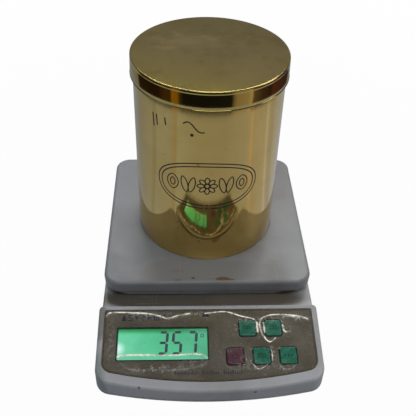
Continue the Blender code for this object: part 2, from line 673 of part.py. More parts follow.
def canister(brass):
    centre = (0.0, TRAY_Y)
    inner = CAN_R - CAN_SHEET
    wall = [
        (CAN_R - 0.3 * MM, CAN_LOW), (CAN_R, CAN_LOW + 0.8 * MM), (CAN_R, CAN_RIM - 0.2 * MM),
        (CAN_R - 0.2 * MM, CAN_RIM), (inner, CAN_RIM), (inner, CAN_LOW),
    ]
    turned("canister_wall", wall, brass, CAN_ROUND, centre, closed=True)
    disc = inner - TOUCH
    flange = 1.7 * MM  # turned down inside the wall, where it is soldered
    inside = disc - CAN_SHEET
    bottom = [
        (inside, CAN_FLOOR - CAN_SHEET), (inside, CAN_FLOOR - flange), (disc, CAN_FLOOR - flange),
        (disc, CAN_FLOOR),
    ]
    turned("canister_bottom", bottom, brass, CAN_ROUND, centre)


def canister_lid(brass):
    """A cap with a rounded top edge. A rolled bead at its foot guides it on the wall."""
    low = LID_TOP - LID_SKIRT
    edge = 1.4 * MM
    bend = [
        (LID_R - edge * (1 - math.sin(turn)), LID_TOP - edge * (1 - math.cos(turn)))
        for turn in (0.0, math.pi / 4, math.pi / 2)
    ]
    inside = LID_R - LID_SHEET
    bead = [(LID_R, low + 1.6 * MM), (LID_R + 0.25 * MM, low + 0.9 * MM), (LID_R - 0.3 * MM, low)]
    bead += [(CAN_R + 0.35 * MM, low), (CAN_R + 0.35 * MM, low + 0.7 * MM), (inside, low + 1.6 * MM)]
    under = LID_TOP - LID_SHEET
    profile = bend + bead + [(inside, under)]
    return turned("canister_lid", profile, brass, CAN_ROUND, (0.0, TRAY_Y))


def main():
    for old in list(bpy.data.objects):
        bpy.data.objects.remove(old)

    frame = bpy.data.objects.new("console_frame", None)
    bpy.context.scene.collection.objects.link(frame)
    frame.location = (0.0, CONSOLE_BACK_Y, RIM_Z)
    frame.rotation_euler = (TILT, 0.0, 0.0)

    shell = material("white_abs", (0.72, 0.72, 0.74), 0.42)
    rubber = material("foot_rubber", (0.05, 0.05, 0.05), 0.8)
    printed = material("printed_overlay", (0.34, 0.31, 0.24), 0.3)
    clear = material("clear_lens", (0.8, 0.9, 0.85), 0.05, 0.0, 0.3)
    glass = material("lcd_cell", (0.2, 0.75, 0.42), 0.2)
    backlight = material("lcd_backlight", (0.15, 0.8, 0.4), 0.5)
    green = material("green_key", (0.0, 0.24, 0.13), 0.3)
    plum = material("plum_key", (0.2, 0.06, 0.12), 0.3)
    laminate = material("pcb_laminate", (0.03, 0.2, 0.08), 0.5)
    black = material("black_plastic", (0.03, 0.03, 0.03), 0.5)
    aluminium = material("load_cell_aluminium", (0.7, 0.7, 0.72), 0.35, 1.0)
    steel = material("zinc_steel", (0.6, 0.6, 0.6), 0.3, 1.0)
    jacket = material("battery_jacket", (0.08, 0.1, 0.14), 0.35)
    grey = material("lead_grey", (0.3, 0.3, 0.3), 0.6)
    red = material("lead_red", (0.5, 0.03, 0.03), 0.6)
    brass = material("polished_brass", (0.78, 0.62, 0.3), 0.14, 1.0)

    upper_housing(frame, shell)
    lower_housing(shell)
    feet(rubber)
    overlay_and_display(frame, printed, clear, glass, backlight)
    for name, (x, y) in KEYS.items():
        key(name, x, y, frame, plum if name == "key_power" else green)
    board(frame, laminate, black, steel)
    load_cell(aluminium)
    platform_bracket(black, steel)
    platform_tray(shell)
    base_screws(steel)
    batteries(jacket, steel)
    battery_door(shell)
    dc_jack(black)
    leads(grey, red)
    canister(brass)
    canister_lid(brass)


main()
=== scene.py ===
"""The looks of an electronic kitchen scale with a lidded brass canister on its tray."""

import json
import math

import bmesh
import bpy
import numpy as np
from mathutils import Matrix, Vector, noise


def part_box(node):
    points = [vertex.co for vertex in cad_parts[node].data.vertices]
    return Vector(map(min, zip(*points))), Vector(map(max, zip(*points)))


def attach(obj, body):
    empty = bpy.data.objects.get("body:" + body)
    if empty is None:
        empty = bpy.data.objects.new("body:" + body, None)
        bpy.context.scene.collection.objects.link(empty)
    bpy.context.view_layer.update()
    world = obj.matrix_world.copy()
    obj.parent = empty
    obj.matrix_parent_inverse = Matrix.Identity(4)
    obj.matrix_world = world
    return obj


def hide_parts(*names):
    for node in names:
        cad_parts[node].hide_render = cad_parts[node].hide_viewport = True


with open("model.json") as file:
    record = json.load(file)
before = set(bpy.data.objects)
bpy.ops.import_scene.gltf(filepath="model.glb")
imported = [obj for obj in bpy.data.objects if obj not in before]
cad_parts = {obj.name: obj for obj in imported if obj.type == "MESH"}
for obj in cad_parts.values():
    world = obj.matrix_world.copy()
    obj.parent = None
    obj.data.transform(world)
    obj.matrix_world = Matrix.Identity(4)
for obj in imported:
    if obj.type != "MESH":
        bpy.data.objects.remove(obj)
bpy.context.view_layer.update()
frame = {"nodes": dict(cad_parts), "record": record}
NODES = frame["nodes"]
MM = 0.001

# ---------- measures taken from the frame ----------

HOUSING_LOW, HOUSING_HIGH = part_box("upper_housing")
TRAY_LOW, TRAY_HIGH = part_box("platform_tray")
LID_LOW, LID_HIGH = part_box("canister_lid")
WALL_LOW, WALL_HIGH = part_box("canister_wall")
TRAY_Y = (TRAY_LOW.y + TRAY_HIGH.y) / 2

SEAM = HOUSING_LOW.z  # foot of the upper housing
CONSOLE_HALF = HOUSING_HIGH.x
FRONT_Y, REAR_Y = HOUSING_LOW.y, HOUSING_HIGH.y
CONSOLE_BACK_Y = -54.7 * MM
NECK_HALF = 83.0 * MM
DECK_Z = 29.5 * MM
RIM_Z = HOUSING_HIGH.z
TILT = math.radians(12.24)
FRONT_ARC = 380.0 * MM
CONSOLE_CORNER, CONSOLE_BACK_CORNER = 12.0 * MM, 3.0 * MM
NECK_CORNER = 12.0 * MM
TRAY_STEP = 34.7 * MM  # height of the step in the tray's wall
SHELL = 2.2 * MM
PANEL_HALF, PANEL_BACK, PANEL_FRONT = 80.5 * MM, -3.3 * MM, -62.7 * MM
PANEL_ARC, PANEL_CORNER = 350.0 * MM, 9.0 * MM
RECESS = 1.2 * MM
OVERLAY_TOP = -0.4 * MM
FILM_THICK = 0.04 * MM
WINDOW = (-35.45 * MM, -32.05 * MM, 33.95 * MM, 12.95 * MM)
KEY_HALF = (6.15 * MM, 6.6 * MM)
KEY_PROUD = 0.6 * MM
KEYS = {
    "key_units": (29.15 * MM, -19.9 * MM),
    "key_count": (49.0 * MM, -19.9 * MM),
    "key_power": (18.75 * MM, -42.9 * MM),
    "key_mode": (38.7 * MM, -42.9 * MM),
    "key_tare": (58.6 * MM, -42.9 * MM),
}
BACK_BAND = CONSOLE_BACK_Y - 4.0 * MM  # the console's back edge lies behind this
CONSOLE = Matrix.Translation((0.0, CONSOLE_BACK_Y, RIM_Z)) @ Matrix.Rotation(TILT, 4, "X")
CAN_R = WALL_HIGH.x
CAN_SHEET = 0.5 * MM
LID_R = 59.1 * MM


# ---------- node wiring ----------

class Nodes:
    """A short way to wire a material's nodes."""

    def __init__(self, name):
        self.material = bpy.data.materials.new(name)
        self.material.use_nodes = True
        self.tree = self.material.node_tree
        self.shader = self.tree.nodes["Principled BSDF"]
        self.where = self.add("ShaderNodeTexCoord").outputs["Object"]

    def add(self, kind, **values):
        node = self.tree.nodes.new(kind)
        for key, value in values.items():
            setattr(node, key, value)
        return node

    def feed(self, socket, value):
        if isinstance(value, bpy.types.NodeSocket):
            self.tree.links.new(value, socket)
        else:
            socket.default_value = value

    def set(self, **values):
        for key, value in values.items():
            self.feed(self.shader.inputs[key.replace("_", " ")], value)

    def stretch(self, scale, turn=(0.0, 0.0, 0.0), at=(0.0, 0.0, 0.0)):
        node = self.add("ShaderNodeMapping")
        self.feed(node.inputs["Vector"], self.where)
        node.inputs["Scale"].default_value = scale
        node.inputs["Rotation"].default_value = turn
        node.inputs["Location"].default_value = at
        return node.outputs["Vector"]

    def noise(self, scale, detail=4.0, rough=0.55, vector=None, distortion=0.0):
        node = self.add("ShaderNodeTexNoise")
        self.feed(node.inputs["Vector"], vector or self.where)
        node.inputs["Scale"].default_value = scale
        node.inputs["Detail"].default_value = detail
        node.inputs["Roughness"].default_value = rough
        node.inputs["Distortion"].default_value = distortion
        return node.outputs["Fac"]

    def math(self, operation, a, b=0.0, c=0.0, clamp=False):
        node = self.add("ShaderNodeMath", operation=operation, use_clamp=clamp)
        for socket, value in zip(node.inputs, (a, b, c)):
            self.feed(socket, value)
        return node.outputs[0]

    def ramp(self, value, low, high, out_low=0.0, out_high=1.0, smooth=True):
        node = self.add("ShaderNodeMapRange", clamp=True)
        node.interpolation_type = "SMOOTHSTEP" if smooth else "LINEAR"
        for key, number in zip(("Value", "From Min", "From Max", "To Min", "To Max"),
                               (value, low, high, out_low, out_high)):
            self.feed(node.inputs[key], number)
        return node.outputs[0]

    def mix(self, share, a, b, blend="MIX"):
        node = self.add("ShaderNodeMix", data_type="RGBA", blend_type=blend)
        self.feed(node.inputs[0], share)
        for socket, value in ((node.inputs[6], a), (node.inputs[7], b)):
            self.feed(socket, (*value, 1.0) if isinstance(value, tuple) and len(value) == 3 else value)
        return node.outputs[2]

    def axis(self, letter, vector=None):
        node = self.add("ShaderNodeSeparateXYZ")
        self.feed(node.inputs[0], vector or self.where)
        return node.outputs[letter]

    def spot(self, at, size, edge=0.5):
        """1 inside an ellipsoid of the half sizes size round the point at, fading to 0 over edge."""
        node = self.add("ShaderNodeMapping", vector_type="TEXTURE")
        self.feed(node.inputs["Vector"], self.where)
        node.inputs["Location"].default_value = at
        node.inputs["Scale"].default_value = size
        length = self.add("ShaderNodeVectorMath", operation="LENGTH")
        self.feed(length.inputs[0], node.outputs[0])
        return self.ramp(length.outputs["Value"], 1.0 - edge, 1.0 + edge, 1.0, 0.0)

    def bump(self, height, distance, strength=1.0, normal=None):
        node = self.add("ShaderNodeBump")
        self.feed(node.inputs["Height"], height)
        node.inputs["Distance"].default_value = distance
        node.inputs["Strength"].default_value = strength
        if normal:
            self.feed(node.inputs["Normal"], normal)
        return node.outputs[0]

    def attribute(self, name):
        node = self.add("ShaderNodeAttribute", attribute_name=name)
        return node.outputs["Fac"]


# ---------- camera and light ----------

CAMERA_AT = (-22.8 * MM, -399.5 * MM, 425.6 * MM)
CAMERA_YAW, CAMERA_PITCH, CAMERA_ROLL = (math.radians(a) for a in (3.27, 40.28, 2.007))
CAMERA_LENS = 57.17  # mm on a 36 mm sensor


def add_camera():
    data = bpy.data.cameras.new("camera")
    data.sensor_width = 36.0
    data.lens = CAMERA_LENS
    data.clip_start, data.clip_end = 0.01, 30.0
    camera = bpy.data.objects.new("camera", data)
    bpy.context.scene.collection.objects.link(camera)
    turn = (
        Matrix.Rotation(-CAMERA_YAW, 4, "Z")
        @ Matrix.Rotation(math.pi / 2 - CAMERA_PITCH, 4, "X")
        @ Matrix.Rotation(CAMERA_ROLL, 4, "Z")
    )
    camera.matrix_world = Matrix.Translation(CAMERA_AT) @ turn
    bpy.context.scene.camera = camera


def softbox(name, at, aim, size, power, colour):
    data = bpy.data.lights.new(name, "AREA")
    data.shape = "RECTANGLE"
    data.size, data.size_y = size
    data.energy = power
    data.color = colour
    light = bpy.data.objects.new(name, data)
    bpy.context.scene.collection.objects.link(light)
    light.location = at
    light.rotation_euler = (Vector(aim) - Vector(at)).to_track_quat("-Z", "Y").to_euler()


def add_lights():
    """A broad key from behind, so that the tray shades the deck, a top light and weak fills."""
    softbox("key_box", (0.14, 0.80, 1.06), (0, 0, 40 * MM), (1.0, 0.30), 5.6, (1.0, 0.99, 0.97))
    softbox("top_box", (0.05, -0.50, 1.30), (0, -0.05, 40 * MM), (0.8, 0.4), 3.8, (0.93, 0.97, 1.0))
    softbox("left_box", (-1.0, -0.10, 0.95), (0, 0, 60 * MM), (0.6, 0.6), 0.55, (0.84, 0.93, 1.0))
    softbox("right_box", (1.1, -0.05, 0.55), (0, 0, 60 * MM), (0.5, 0.6), 1.9, (1.0, 0.95, 0.90))
    world = bpy.data.worlds.new("studio")
    world.use_nodes = True
    world.node_tree.nodes["Background"].inputs["Color"].default_value = (0.13, 0.132, 0.138, 1.0)
    bpy.context.scene.world = world


def see_only(obj, camera=False, diffuse=False, glossy=False):
    obj.visible_camera = camera
    obj.visible_diffuse = diffuse
    obj.visible_glossy = glossy
    obj.visible_transmission = camera
    obj.visible_shadow = False


def stage_material(name, colour, glow):
    made = bpy.data.materials.new(name)
    made.use_nodes = True
    shader = made.node_tree.nodes["Principled BSDF"]
    shader.inputs["Base Color"].default_value = (*colour, 1.0)
    shader.inputs["Roughness"].default_value = 0.9
    shader.inputs["Specular IOR Level"].default_value = 0.0
    shader.inputs["Emission Color"].default_value = (*colour, 1.0)
    shader.inputs["Emission Strength"].default_value = glow
    return made


def stage_piece(name, verts, faces, material):
    mesh = bpy.data.meshes.new(name)
    mesh.from_pydata(verts, [], faces)
    mesh.materials.append(material)
    mesh.shade_smooth()
    piece = bpy.data.objects.new(name, mesh)
    bpy.context.scene.collection.objects.link(piece)
    return piece


# What the polished brass sees of the room low down, by turn round the canister in degrees from
# the front, positive to the right. The body sees the near table, the lid's skirt what lies past it.
# The turns and colours are chosen one by one.
NEAR, FAR = 0.349, 1.6
NEAR_TABLE = [
    (-180, (0.29, 0.32, 0.36)), (-120, (0.26, 0.30, 0.37)), (-92, (0.33, 0.37, 0.46)),
    (-84, (0.28, 0.32, 0.40)), (-78, (0.345, 0.40, 0.52)), (-54, (0.335, 0.38, 0.49)),
    (-51, (0.36, 0.35, 0.34)), (-48, (0.33, 0.34, 0.38)), (-44, (0.37, 0.425, 0.53)),
    (-20, (0.34, 0.37, 0.42)), (20, (0.33, 0.355, 0.41)), (52, (0.37, 0.40, 0.48)),
    (58, (0.41, 0.43, 0.50)), (61, (0.55, 0.46, 0.45)), (64, (0.41, 0.42, 0.48)),
    (88, (0.43, 0.47, 0.58)), (91, (0.58, 0.60, 0.72)), (94, (0.44, 0.48, 0.58)),
    (102, (0.36, 0.40, 0.48)), (112, (0.43, 0.47, 0.56)), (140, (0.38, 0.42, 0.50)),
    (180, (0.29, 0.32, 0.36)),
]
FAR_TABLE = [
    (-180, (0.26, 0.28, 0.32)), (-116, (0.24, 0.25, 0.27)), (-111, (0.030, 0.016, 0.010)),
    (-82, (0.020, 0.011, 0.008)), (-72, (0.024, 0.012, 0.008)), (-62, (0.060, 0.030, 0.012)),
    (-54, (0.055, 0.028, 0.012)), (-52, (0.28, 0.14, 0.008)), (-44, (0.25, 0.12, 0.008)),
    (-41, (0.05, 0.035, 0.02)), (-36, (0.012, 0.010, 0.010)), (0, (0.009, 0.009, 0.011)),
    (27, (0.014, 0.013, 0.014)), (30, (0.16, 0.13, 0.10)), (34, (0.30, 0.24, 0.17)),
    (50, (0.36, 0.29, 0.21)), (55, (0.50, 0.41, 0.28)), (58, (0.12, 0.085, 0.06)),
    (72, (0.052, 0.034, 0.024)), (86, (0.036, 0.018, 0.015)), (92, (0.090, 0.030, 0.022)),
    (120, (0.050, 0.028, 0.020)), (132, (0.055, 0.035, 0.028)), (138, (0.24, 0.25, 0.27)),
    (180, (0.26, 0.28, 0.32)),
]
RING_Z, TABLE_Z = -1.5 * MM, -2.0 * MM


def table_ring(name, inner, outer, stops):
    """A ring on the table that only reflections see, glowing in the colours of its stops."""
    steps = 720
    turns = np.linspace(-180, 180, steps + 1)[:-1]
    stop_turns = [turn for turn, _ in stops]
    glow = np.stack([np.interp(turns, stop_turns, [c[k] for _, c in stops]) for k in range(3)], 1)
    verts, shades = [], []
    for turn, shade in zip(turns, glow):
        t = math.radians(turn)
        for radius in (inner, outer):
            verts.append((radius * math.sin(t), TRAY_Y - radius * math.cos(t), RING_Z))
            shades += [*shade, 1.0]
    faces = [(2 * i, 2 * i + 1, (2 * i + 3) % (2 * steps), (2 * i + 2) % (2 * steps)) for i in range(steps)]
    n = Nodes(name)
    n.set(Base_Color=(0.0, 0.0, 0.0, 1.0))
    tint = n.add("ShaderNodeAttribute", attribute_name="glow")
    n.feed(n.shader.inputs["Emission Color"], tint.outputs["Color"])
    n.shader.inputs["Emission Strength"].default_value = 1.0
    n.shader.inputs["Specular IOR Level"].default_value = 0.0
    ring = stage_piece(name, verts, faces, n.material)
    ring.data.attributes.new("glow", "FLOAT_COLOR", "POINT").data.foreach_set("color", shades)
    see_only(ring, glossy=True)


def add_stage():
    """A pale sweep for the camera, and under it what plastic and metal see of the table."""
    flat, bend, tall = 1.6, 0.6, 3.0
    profile = [(flat, 0.0)]
    profile += [(flat + bend * math.sin(a), bend - bend * math.cos(a)) for a in np.linspace(0.2, 1.57, 8)]
    profile.append((flat + bend, tall))
    sides = 64
    verts = [(r * math.cos(t), r * math.sin(t), z)
             for r, z in profile for t in np.linspace(0, 2 * math.pi, sides, endpoint=False)]
    faces = [tuple(range(sides))]
    for ring in range(len(profile) - 1):
        for i in range(sides):
            j = (i + 1) % sides
            low, high = ring * sides, (ring + 1) * sides
            faces.append((low + i, low + j, high + j, high + i))
    floor = stage_piece("floor", verts, faces, stage_material("pale_floor", (1.0, 1.0, 1.0), 0.98))
    see_only(floor, camera=True)
    corners = level(bar(0.0, 0.0, 1.2, 1.2), TABLE_Z)
    table = stage_piece("table", corners, [(0, 1, 2, 3)], stage_material("table", (0.30, 0.30, 0.31), 0.0))
    see_only(table, diffuse=True)
    table_ring("near_table", 10 * MM, NEAR, NEAR_TABLE)
    table_ring("far_table", NEAR, FAR, FAR_TABLE)
    half, behind, low, high = 2.2, 1.35, 0.30, 1.20
    wall = [(-half, behind, low), (half, behind, low), (half, behind, high), (-half, behind, high)]
    grey = stage_material("back_wall", (0.0, 0.0, 0.0), 1.0)
    shader = grey.node_tree.nodes["Principled BSDF"]
    shader.inputs["Emission Color"].default_value = (0.145, 0.145, 0.145, 1.0)
    see_only(stage_piece("back_wall", wall, [(3, 2, 1, 0)], grey), glossy=True)


# ---------- outlines ----------

def arc(centre, radius, start, end, steps):
    turns = [start + (end - start) * step / steps for step in range(steps + 1)]
    return [(centre[0] + radius * math.cos(t), centre[1] + radius * math.sin(t)) for t in turns]


def bar(x, y, half_x, half_y):
    """A rectangle of those half sizes centred at (x, y)."""
    sides = ((-1, -1), (1, -1), (1, 1), (-1, 1))
    return [(x + side_x * half_x, y + side_y * half_y) for side_x, side_y in sides]


def circle(radius, sides, centre=(0.0, 0.0)):
    return arc(centre, radius, 0.0, 2 * math.pi, sides)[:-1]


def rounded_rectangle(half_x, half_y, radius, centre=(0.0, 0.0), steps=8):
    points = []
    for quarter, (side_x, side_y) in enumerate(((1, 1), (-1, 1), (-1, -1), (1, -1))):
        corner = (centre[0] + side_x * (half_x - radius), centre[1] + side_y * (half_y - radius))
        start = quarter * math.pi / 2
        points += arc(corner, radius, start, start + math.pi / 2, steps)
    return points


def bowed_outline(half, back, front, bow, corner, back_corner):
    """A straight back, parallel sides and a front bowed to the radius bow."""
    right = arc((half - back_corner, back - back_corner), back_corner, 0, math.pi / 2, 5)
    left = [(-x, y) for x, y in reversed(right)]
    bow_centre = front + bow
    reach = half - corner
    corner_y = bow_centre - math.sqrt((bow - corner) ** 2 - reach**2)
    lean = math.atan2(corner_y - bow_centre, -reach)
    left_corner = arc((-reach, corner_y), corner, math.pi, 2 * math.pi + lean, 12)
    right_corner = [(-x, y) for x, y in reversed(left_corner)]
    bowed = arc((0.0, bow_centre), bow, lean, -math.pi - lean, 32)[1:-1]
    return right + left + left_corner + bowed + right_corner


def console_outline(inset=0.0, back_inset=None):
    back_inset = inset if back_inset is None else back_inset
    return bowed_outline(
        CONSOLE_HALF - inset, CONSOLE_BACK_Y - back_inset, FRONT_Y + inset, FRONT_ARC - inset,
        CONSOLE_CORNER - inset, max(CONSOLE_BACK_CORNER - inset, 0.5 * MM),
    )


def panel_outline(inset=0.0):
    return bowed_outline(
        PANEL_HALF - inset, PANEL_BACK - inset, PANEL_FRONT + inset, PANEL_ARC - inset,
        PANEL_CORNER - inset, 1.2 * MM,
    )


def rim_height(y, drop=0.0):
    return RIM_Z + (y - CONSOLE_BACK_Y) * math.tan(TILT) - drop / math.cos(TILT)


def level(outline, z):
    return [(x, y, z(y) if callable(z) else z) for x, y in outline]


def on_face(outline, height):
    """An outline in the console frame, raised to height above its face, in the row frame."""
    return [tuple(CONSOLE @ Vector((x, y, height))) for x, y in outline]


# ---------- meshes ----------

def new_object(name, mesh):
    obj = bpy.data.objects.new(name, mesh)
    bpy.context.scene.collection.objects.link(obj)
    return obj


def loft_mesh(name, rings, loop=False, smooth=35):
    """A closed solid through rings of equal point count, with flat ends or joined into a loop."""
    bm = bmesh.new()
    loops = [[bm.verts.new(point) for point in points] for points in rings]
    pairs = list(zip(loops, loops[1:]))
    if loop:
        pairs.append((loops[-1], loops[0]))
    else:
        bm.faces.new(loops[0])
        bm.faces.new(loops[-1])
    for low, high in pairs:
        for index in range(len(low)):
            after = (index + 1) % len(low)
            bm.faces.new((low[index], low[after], high[after], high[index]))
    bmesh.ops.recalc_face_normals(bm, faces=bm.faces)
    mesh = bpy.data.meshes.new(name)
    bm.to_mesh(mesh)
    bm.free()
    mesh.shade_smooth()
    mesh.set_sharp_from_angle(angle=math.radians(smooth))
    return mesh


def loft(name, rings, loop=False, smooth=35):
    return new_object(name, loft_mesh(name, rings, loop, smooth))


def turned(name, profile, sides=256, loop=False, centre=(0.0, TRAY_Y)):
    return loft(name, [level(circle(r, sides, centre), z) for r, z in profile], loop)


def boolean(target, operation, tool):
    """Applies the Boolean at once, and removes the tool."""
    modifier = target.modifiers.new(operation, "BOOLEAN")
    modifier.operation = operation
    modifier.solver = "EXACT"
    modifier.object = tool
    bake_modifiers(target)
    bpy.data.objects.remove(tool)


def bake_modifiers(obj):
    evaluated = obj.evaluated_get(bpy.context.evaluated_depsgraph_get())
    mesh = bpy.data.meshes.new_from_object(evaluated)
    obj.modifiers.clear()
    obj.data = mesh


def even_normals(obj, angle=35):
    obj.data.shade_smooth()
    obj.data.set_sharp_from_angle(angle=math.radians(angle))
    weighted = obj.modifiers.new("even_normals", "WEIGHTED_NORMAL")
    weighted.keep_sharp = True
    weighted.weight = 60


def finish_piece(obj, material, body, replaces=()):
    obj.data.materials.clear()
    obj.data.materials.append(material)
    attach(obj, body)
    if replaces:
        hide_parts(*replaces)
    return obj


# ---------- finishes ----------

def abs_material(name, clean, grimy, stains_and_painted_light=()):
    """Ageing off-white ABS: handling grime in soft patches, fine scratches, and colour at marks.

    A mark is (place, half sizes in mm, colour, depth, how far its edge breaks up). Marks hold
    brown stain and dirt, and also painted shade, painted shadow and painted sheen.
    """
    n = Nodes(name)
    patches = n.ramp(n.noise(16.0, 5.0, 0.6), 0.42, 0.72)
    colour = n.mix(patches, clean, grimy)
    smears = n.ramp(n.noise(9.0, 6.0, 0.7, n.stretch((1.0, 0.35, 1.0), (0, 0, 0.5))), 0.55, 0.75)
    colour = n.mix(n.math("MULTIPLY", smears, 0.35), colour, (0.34, 0.32, 0.29))
    specks = n.ramp(n.noise(420.0, 2.0, 0.5), 0.735, 0.77)
    colour = n.mix(n.math("MULTIPLY", specks, 0.5), colour, (0.20, 0.17, 0.13))
    ragged = n.noise(260.0, 4.0, 0.7)
    # Each mark mixes in its colour; where a mark is painted shade, shadow or sheen, its list says so.
    for at, size, tint, depth, break_up in stains_and_painted_light:
        ragged_edge = n.math("MULTIPLY", n.math("SUBTRACT", ragged, 0.5), break_up)
        inside = n.math("ADD", n.spot(at, tuple(half * MM for half in size), 0.55), ragged_edge)
        colour = n.mix(n.math("MULTIPLY", n.ramp(inside, 0.3, 0.75), depth), colour, tint)
    scratch = n.noise(60.0, 3.0, 0.6, n.stretch((18.0, 0.6, 4.0), (0, 0, 0.9)))
    scratch_b = n.noise(60.0, 3.0, 0.6, n.stretch((0.5, 16.0, 4.0), (0, 0, 0.25)))
    lines = n.math("MAXIMUM", n.ramp(scratch, 0.66, 0.70), n.ramp(scratch_b, 0.67, 0.71))
    colour = n.mix(n.math("MULTIPLY", lines, 0.16), colour, (0.72, 0.73, 0.75))
    rough = n.ramp(n.noise(30.0, 5.0, 0.6), 0.3, 0.7, 0.30, 0.46)
    rough = n.math("ADD", rough, n.math("MULTIPLY", smears, 0.12))
    fine = n.noise(1500.0, 2.0, 0.5)
    normal = n.bump(fine, 0.02 * MM, 0.25)
    normal = n.bump(lines, 0.02 * MM, 0.35, normal)
    n.set(Base_Color=colour, Roughness=rough, Normal=normal)
    n.shader.inputs["IOR"].default_value = 1.5
    return n.material


def rubber_material():
    n = Nodes("rubber")
    dust = n.ramp(n.noise(300.0, 4.0, 0.6), 0.5, 0.75)
    n.set(Base_Color=n.mix(dust, (0.03, 0.03, 0.03), (0.09, 0.085, 0.08)),
          Roughness=n.ramp(dust, 0.0, 1.0, 0.65, 0.85), Normal=n.bump(n.noise(900.0), 0.05 * MM, 0.5))
    return n.material


def brass_material(name, lid=False):
    """Polished sheet brass with turning lines, faint tarnish and finger marks."""
    n = Nodes(name)
    low = (0.66, 0.52, 0.235) if lid else (0.75, 0.53, 0.18)
    dark = (0.56, 0.43, 0.14) if lid else (0.66, 0.44, 0.12)
    tarnish = n.ramp(n.noise(14.0, 5.0, 0.6, distortion=0.4), 0.35, 0.75)
    colour = n.mix(n.math("MULTIPLY", tarnish, 0.75), low, dark)
    if lid:  # the gold is richer towards the front and the left
        lean = n.math("MULTIPLY_ADD", n.axis("X"), 0.45, n.axis("Y"))
        front_share = n.ramp(lean, TRAY_Y - 60 * MM, TRAY_Y - 10 * MM, 0.85, 0.0)
        colour = n.mix(front_share, colour, (0.58, 0.46, 0.13))
    film = n.ramp(n.noise(48.0, 6.0, 0.7), 0.45, 0.7)
    colour = n.mix(n.math("MULTIPLY", film, 0.5 if lid else 0.25), colour, tuple(0.78 * c for c in dark))
    spots = n.ramp(n.noise(150.0, 3.0, 0.6), 0.685, 0.74)
    colour = n.mix(n.math("MULTIPLY", spots, 0.5), colour, (0.22, 0.13, 0.05))
    smudge = n.ramp(n.noise(26.0, 6.0, 0.65), 0.5, 0.8)
    rough = n.math("MULTIPLY_ADD", smudge, 0.06, 0.075)
    if lid:  # the top is worn duller than the skirt
        duller = n.ramp(n.axis("Z"), LID_HIGH.z - 1.2 * MM, LID_HIGH.z - 0.3 * MM, 0.0, 0.09)
        rough = n.math("ADD", rough, duller)
        # painted shade: the bead at the foot of the skirt and the hollow just above it are darkened
        painted_bead_shade = n.ramp(n.axis("Z"), LID_LOW.z + 1.4 * MM, LID_LOW.z + 2.1 * MM, 0.62, 0.0)
        colour = n.mix(painted_bead_shade, colour, (0.30, 0.20, 0.06))
    lathe = n.noise(900.0, 2.0, 0.5, n.stretch((0.012, 0.012, 1.0)))
    waves = n.noise(22.0, 2.0, 0.4)
    normal = n.bump(waves, 0.25 * MM, 0.10)
    normal = n.bump(lathe, 0.006 * MM, 0.3, normal)
    n.set(Base_Color=colour, Roughness=rough, Normal=normal, Metallic=1.0)
    return n.material


def plain_material(name, colour, other, roughness, scale=200.0, metallic=0.0, bump=0.02 * MM):
    """A surface whose colour and gloss drift between two near values."""
    n = Nodes(name)
    drift = n.ramp(n.noise(scale, 4.0, 0.6), 0.35, 0.7)
    n.set(Base_Color=n.mix(drift, colour, other), Metallic=metallic,
          Roughness=n.ramp(drift, 0.0, 1.0, roughness, min(1.0, roughness + 0.15)),
          Normal=n.bump(n.noise(scale * 5), bump, 0.3))
    return n.material


def overlay_material():
    """Olive-brown print under a glossy clear coat that has gone cloudy and creased."""
    n = Nodes("panel_print")
    cloud = n.ramp(n.noise(38.0, 6.0, 0.65), 0.35, 0.7)
    colour = n.mix(cloud, (0.112, 0.093, 0.058), (0.180, 0.156, 0.108))
    grain = n.ramp(n.noise(620.0, 3.0, 0.7), 0.5, 0.78)
    colour = n.mix(n.math("MULTIPLY", grain, 0.40), colour, (0.38, 0.35, 0.27))
    worn = n.ramp(n.noise(75.0, 5.0, 0.7), 0.55, 0.74)
    colour = n.mix(n.math("MULTIPLY", worn, 0.45), colour, (0.10, 0.07, 0.03))
    ripple = n.noise(120.0, 4.0, 0.6, distortion=0.6)
    n.set(Base_Color=colour, Roughness=n.ramp(cloud, 0.0, 1.0, 0.32, 0.5),
          Normal=n.bump(ripple, 0.12 * MM, 0.35))
    n.shader.inputs["Coat Weight"].default_value = 0.6
    n.shader.inputs["Coat Roughness"].default_value = 0.12
    return n.material


def film_material():
    """Clear film: nearly unseen where flat, cream and glinting where creased or lifted, partly painted
    highlight.
    """
    n = Nodes("clear_film")
    crease = n.attribute("crease")
    broken = n.ramp(n.noise(230.0, 4.0, 0.65, distortion=0.5), 0.36, 0.60)
    fine = n.ramp(n.noise(900.0, 3.0, 0.7), 0.30, 0.60)
    whitened_crease_and_painted_glow = n.math("MULTIPLY", n.ramp(crease, 0.30, 0.95), n.math("MULTIPLY_ADD", broken, 0.68, 0.22))
    seen = n.math("MULTIPLY_ADD", crease, 0.20, whitened_crease_and_painted_glow)
    crinkle = n.math("MULTIPLY", n.attribute("crinkle"), n.ramp(n.noise(380.0, 4.0, 0.75), 0.50, 0.60))
    haze = n.ramp(n.noise(60.0, 5.0, 0.7), 0.45, 0.75, 0.005, 0.025)
    alpha = n.math("ADD", n.math("ADD", haze, seen), crinkle, clamp=True)
    # the cream on creases and crinkles is partly whitening of the film and partly painted highlight
    lit = n.math("MAXIMUM", crease, crinkle)
    n.set(Base_Color=n.mix(lit, (0.60, 0.58, 0.52), (1.0, 0.96, 0.84)), Alpha=alpha,
          Roughness=n.ramp(fine, 0.0, 1.0, 0.10, 0.30),
          Normal=n.bump(n.math("MULTIPLY", n.noise(520.0, 3.0, 0.6), lit), 0.45 * MM, 0.8))
    # painted highlight: the middle of each crease glows cream
    n.feed(n.shader.inputs["Emission Color"], (1.0, 0.92, 0.74, 1.0))
    n.feed(n.shader.inputs["Emission Strength"], n.math("MULTIPLY", whitened_crease_and_painted_glow, 0.42))
    n.shader.inputs["IOR"].default_value = 2.0
    return n.material


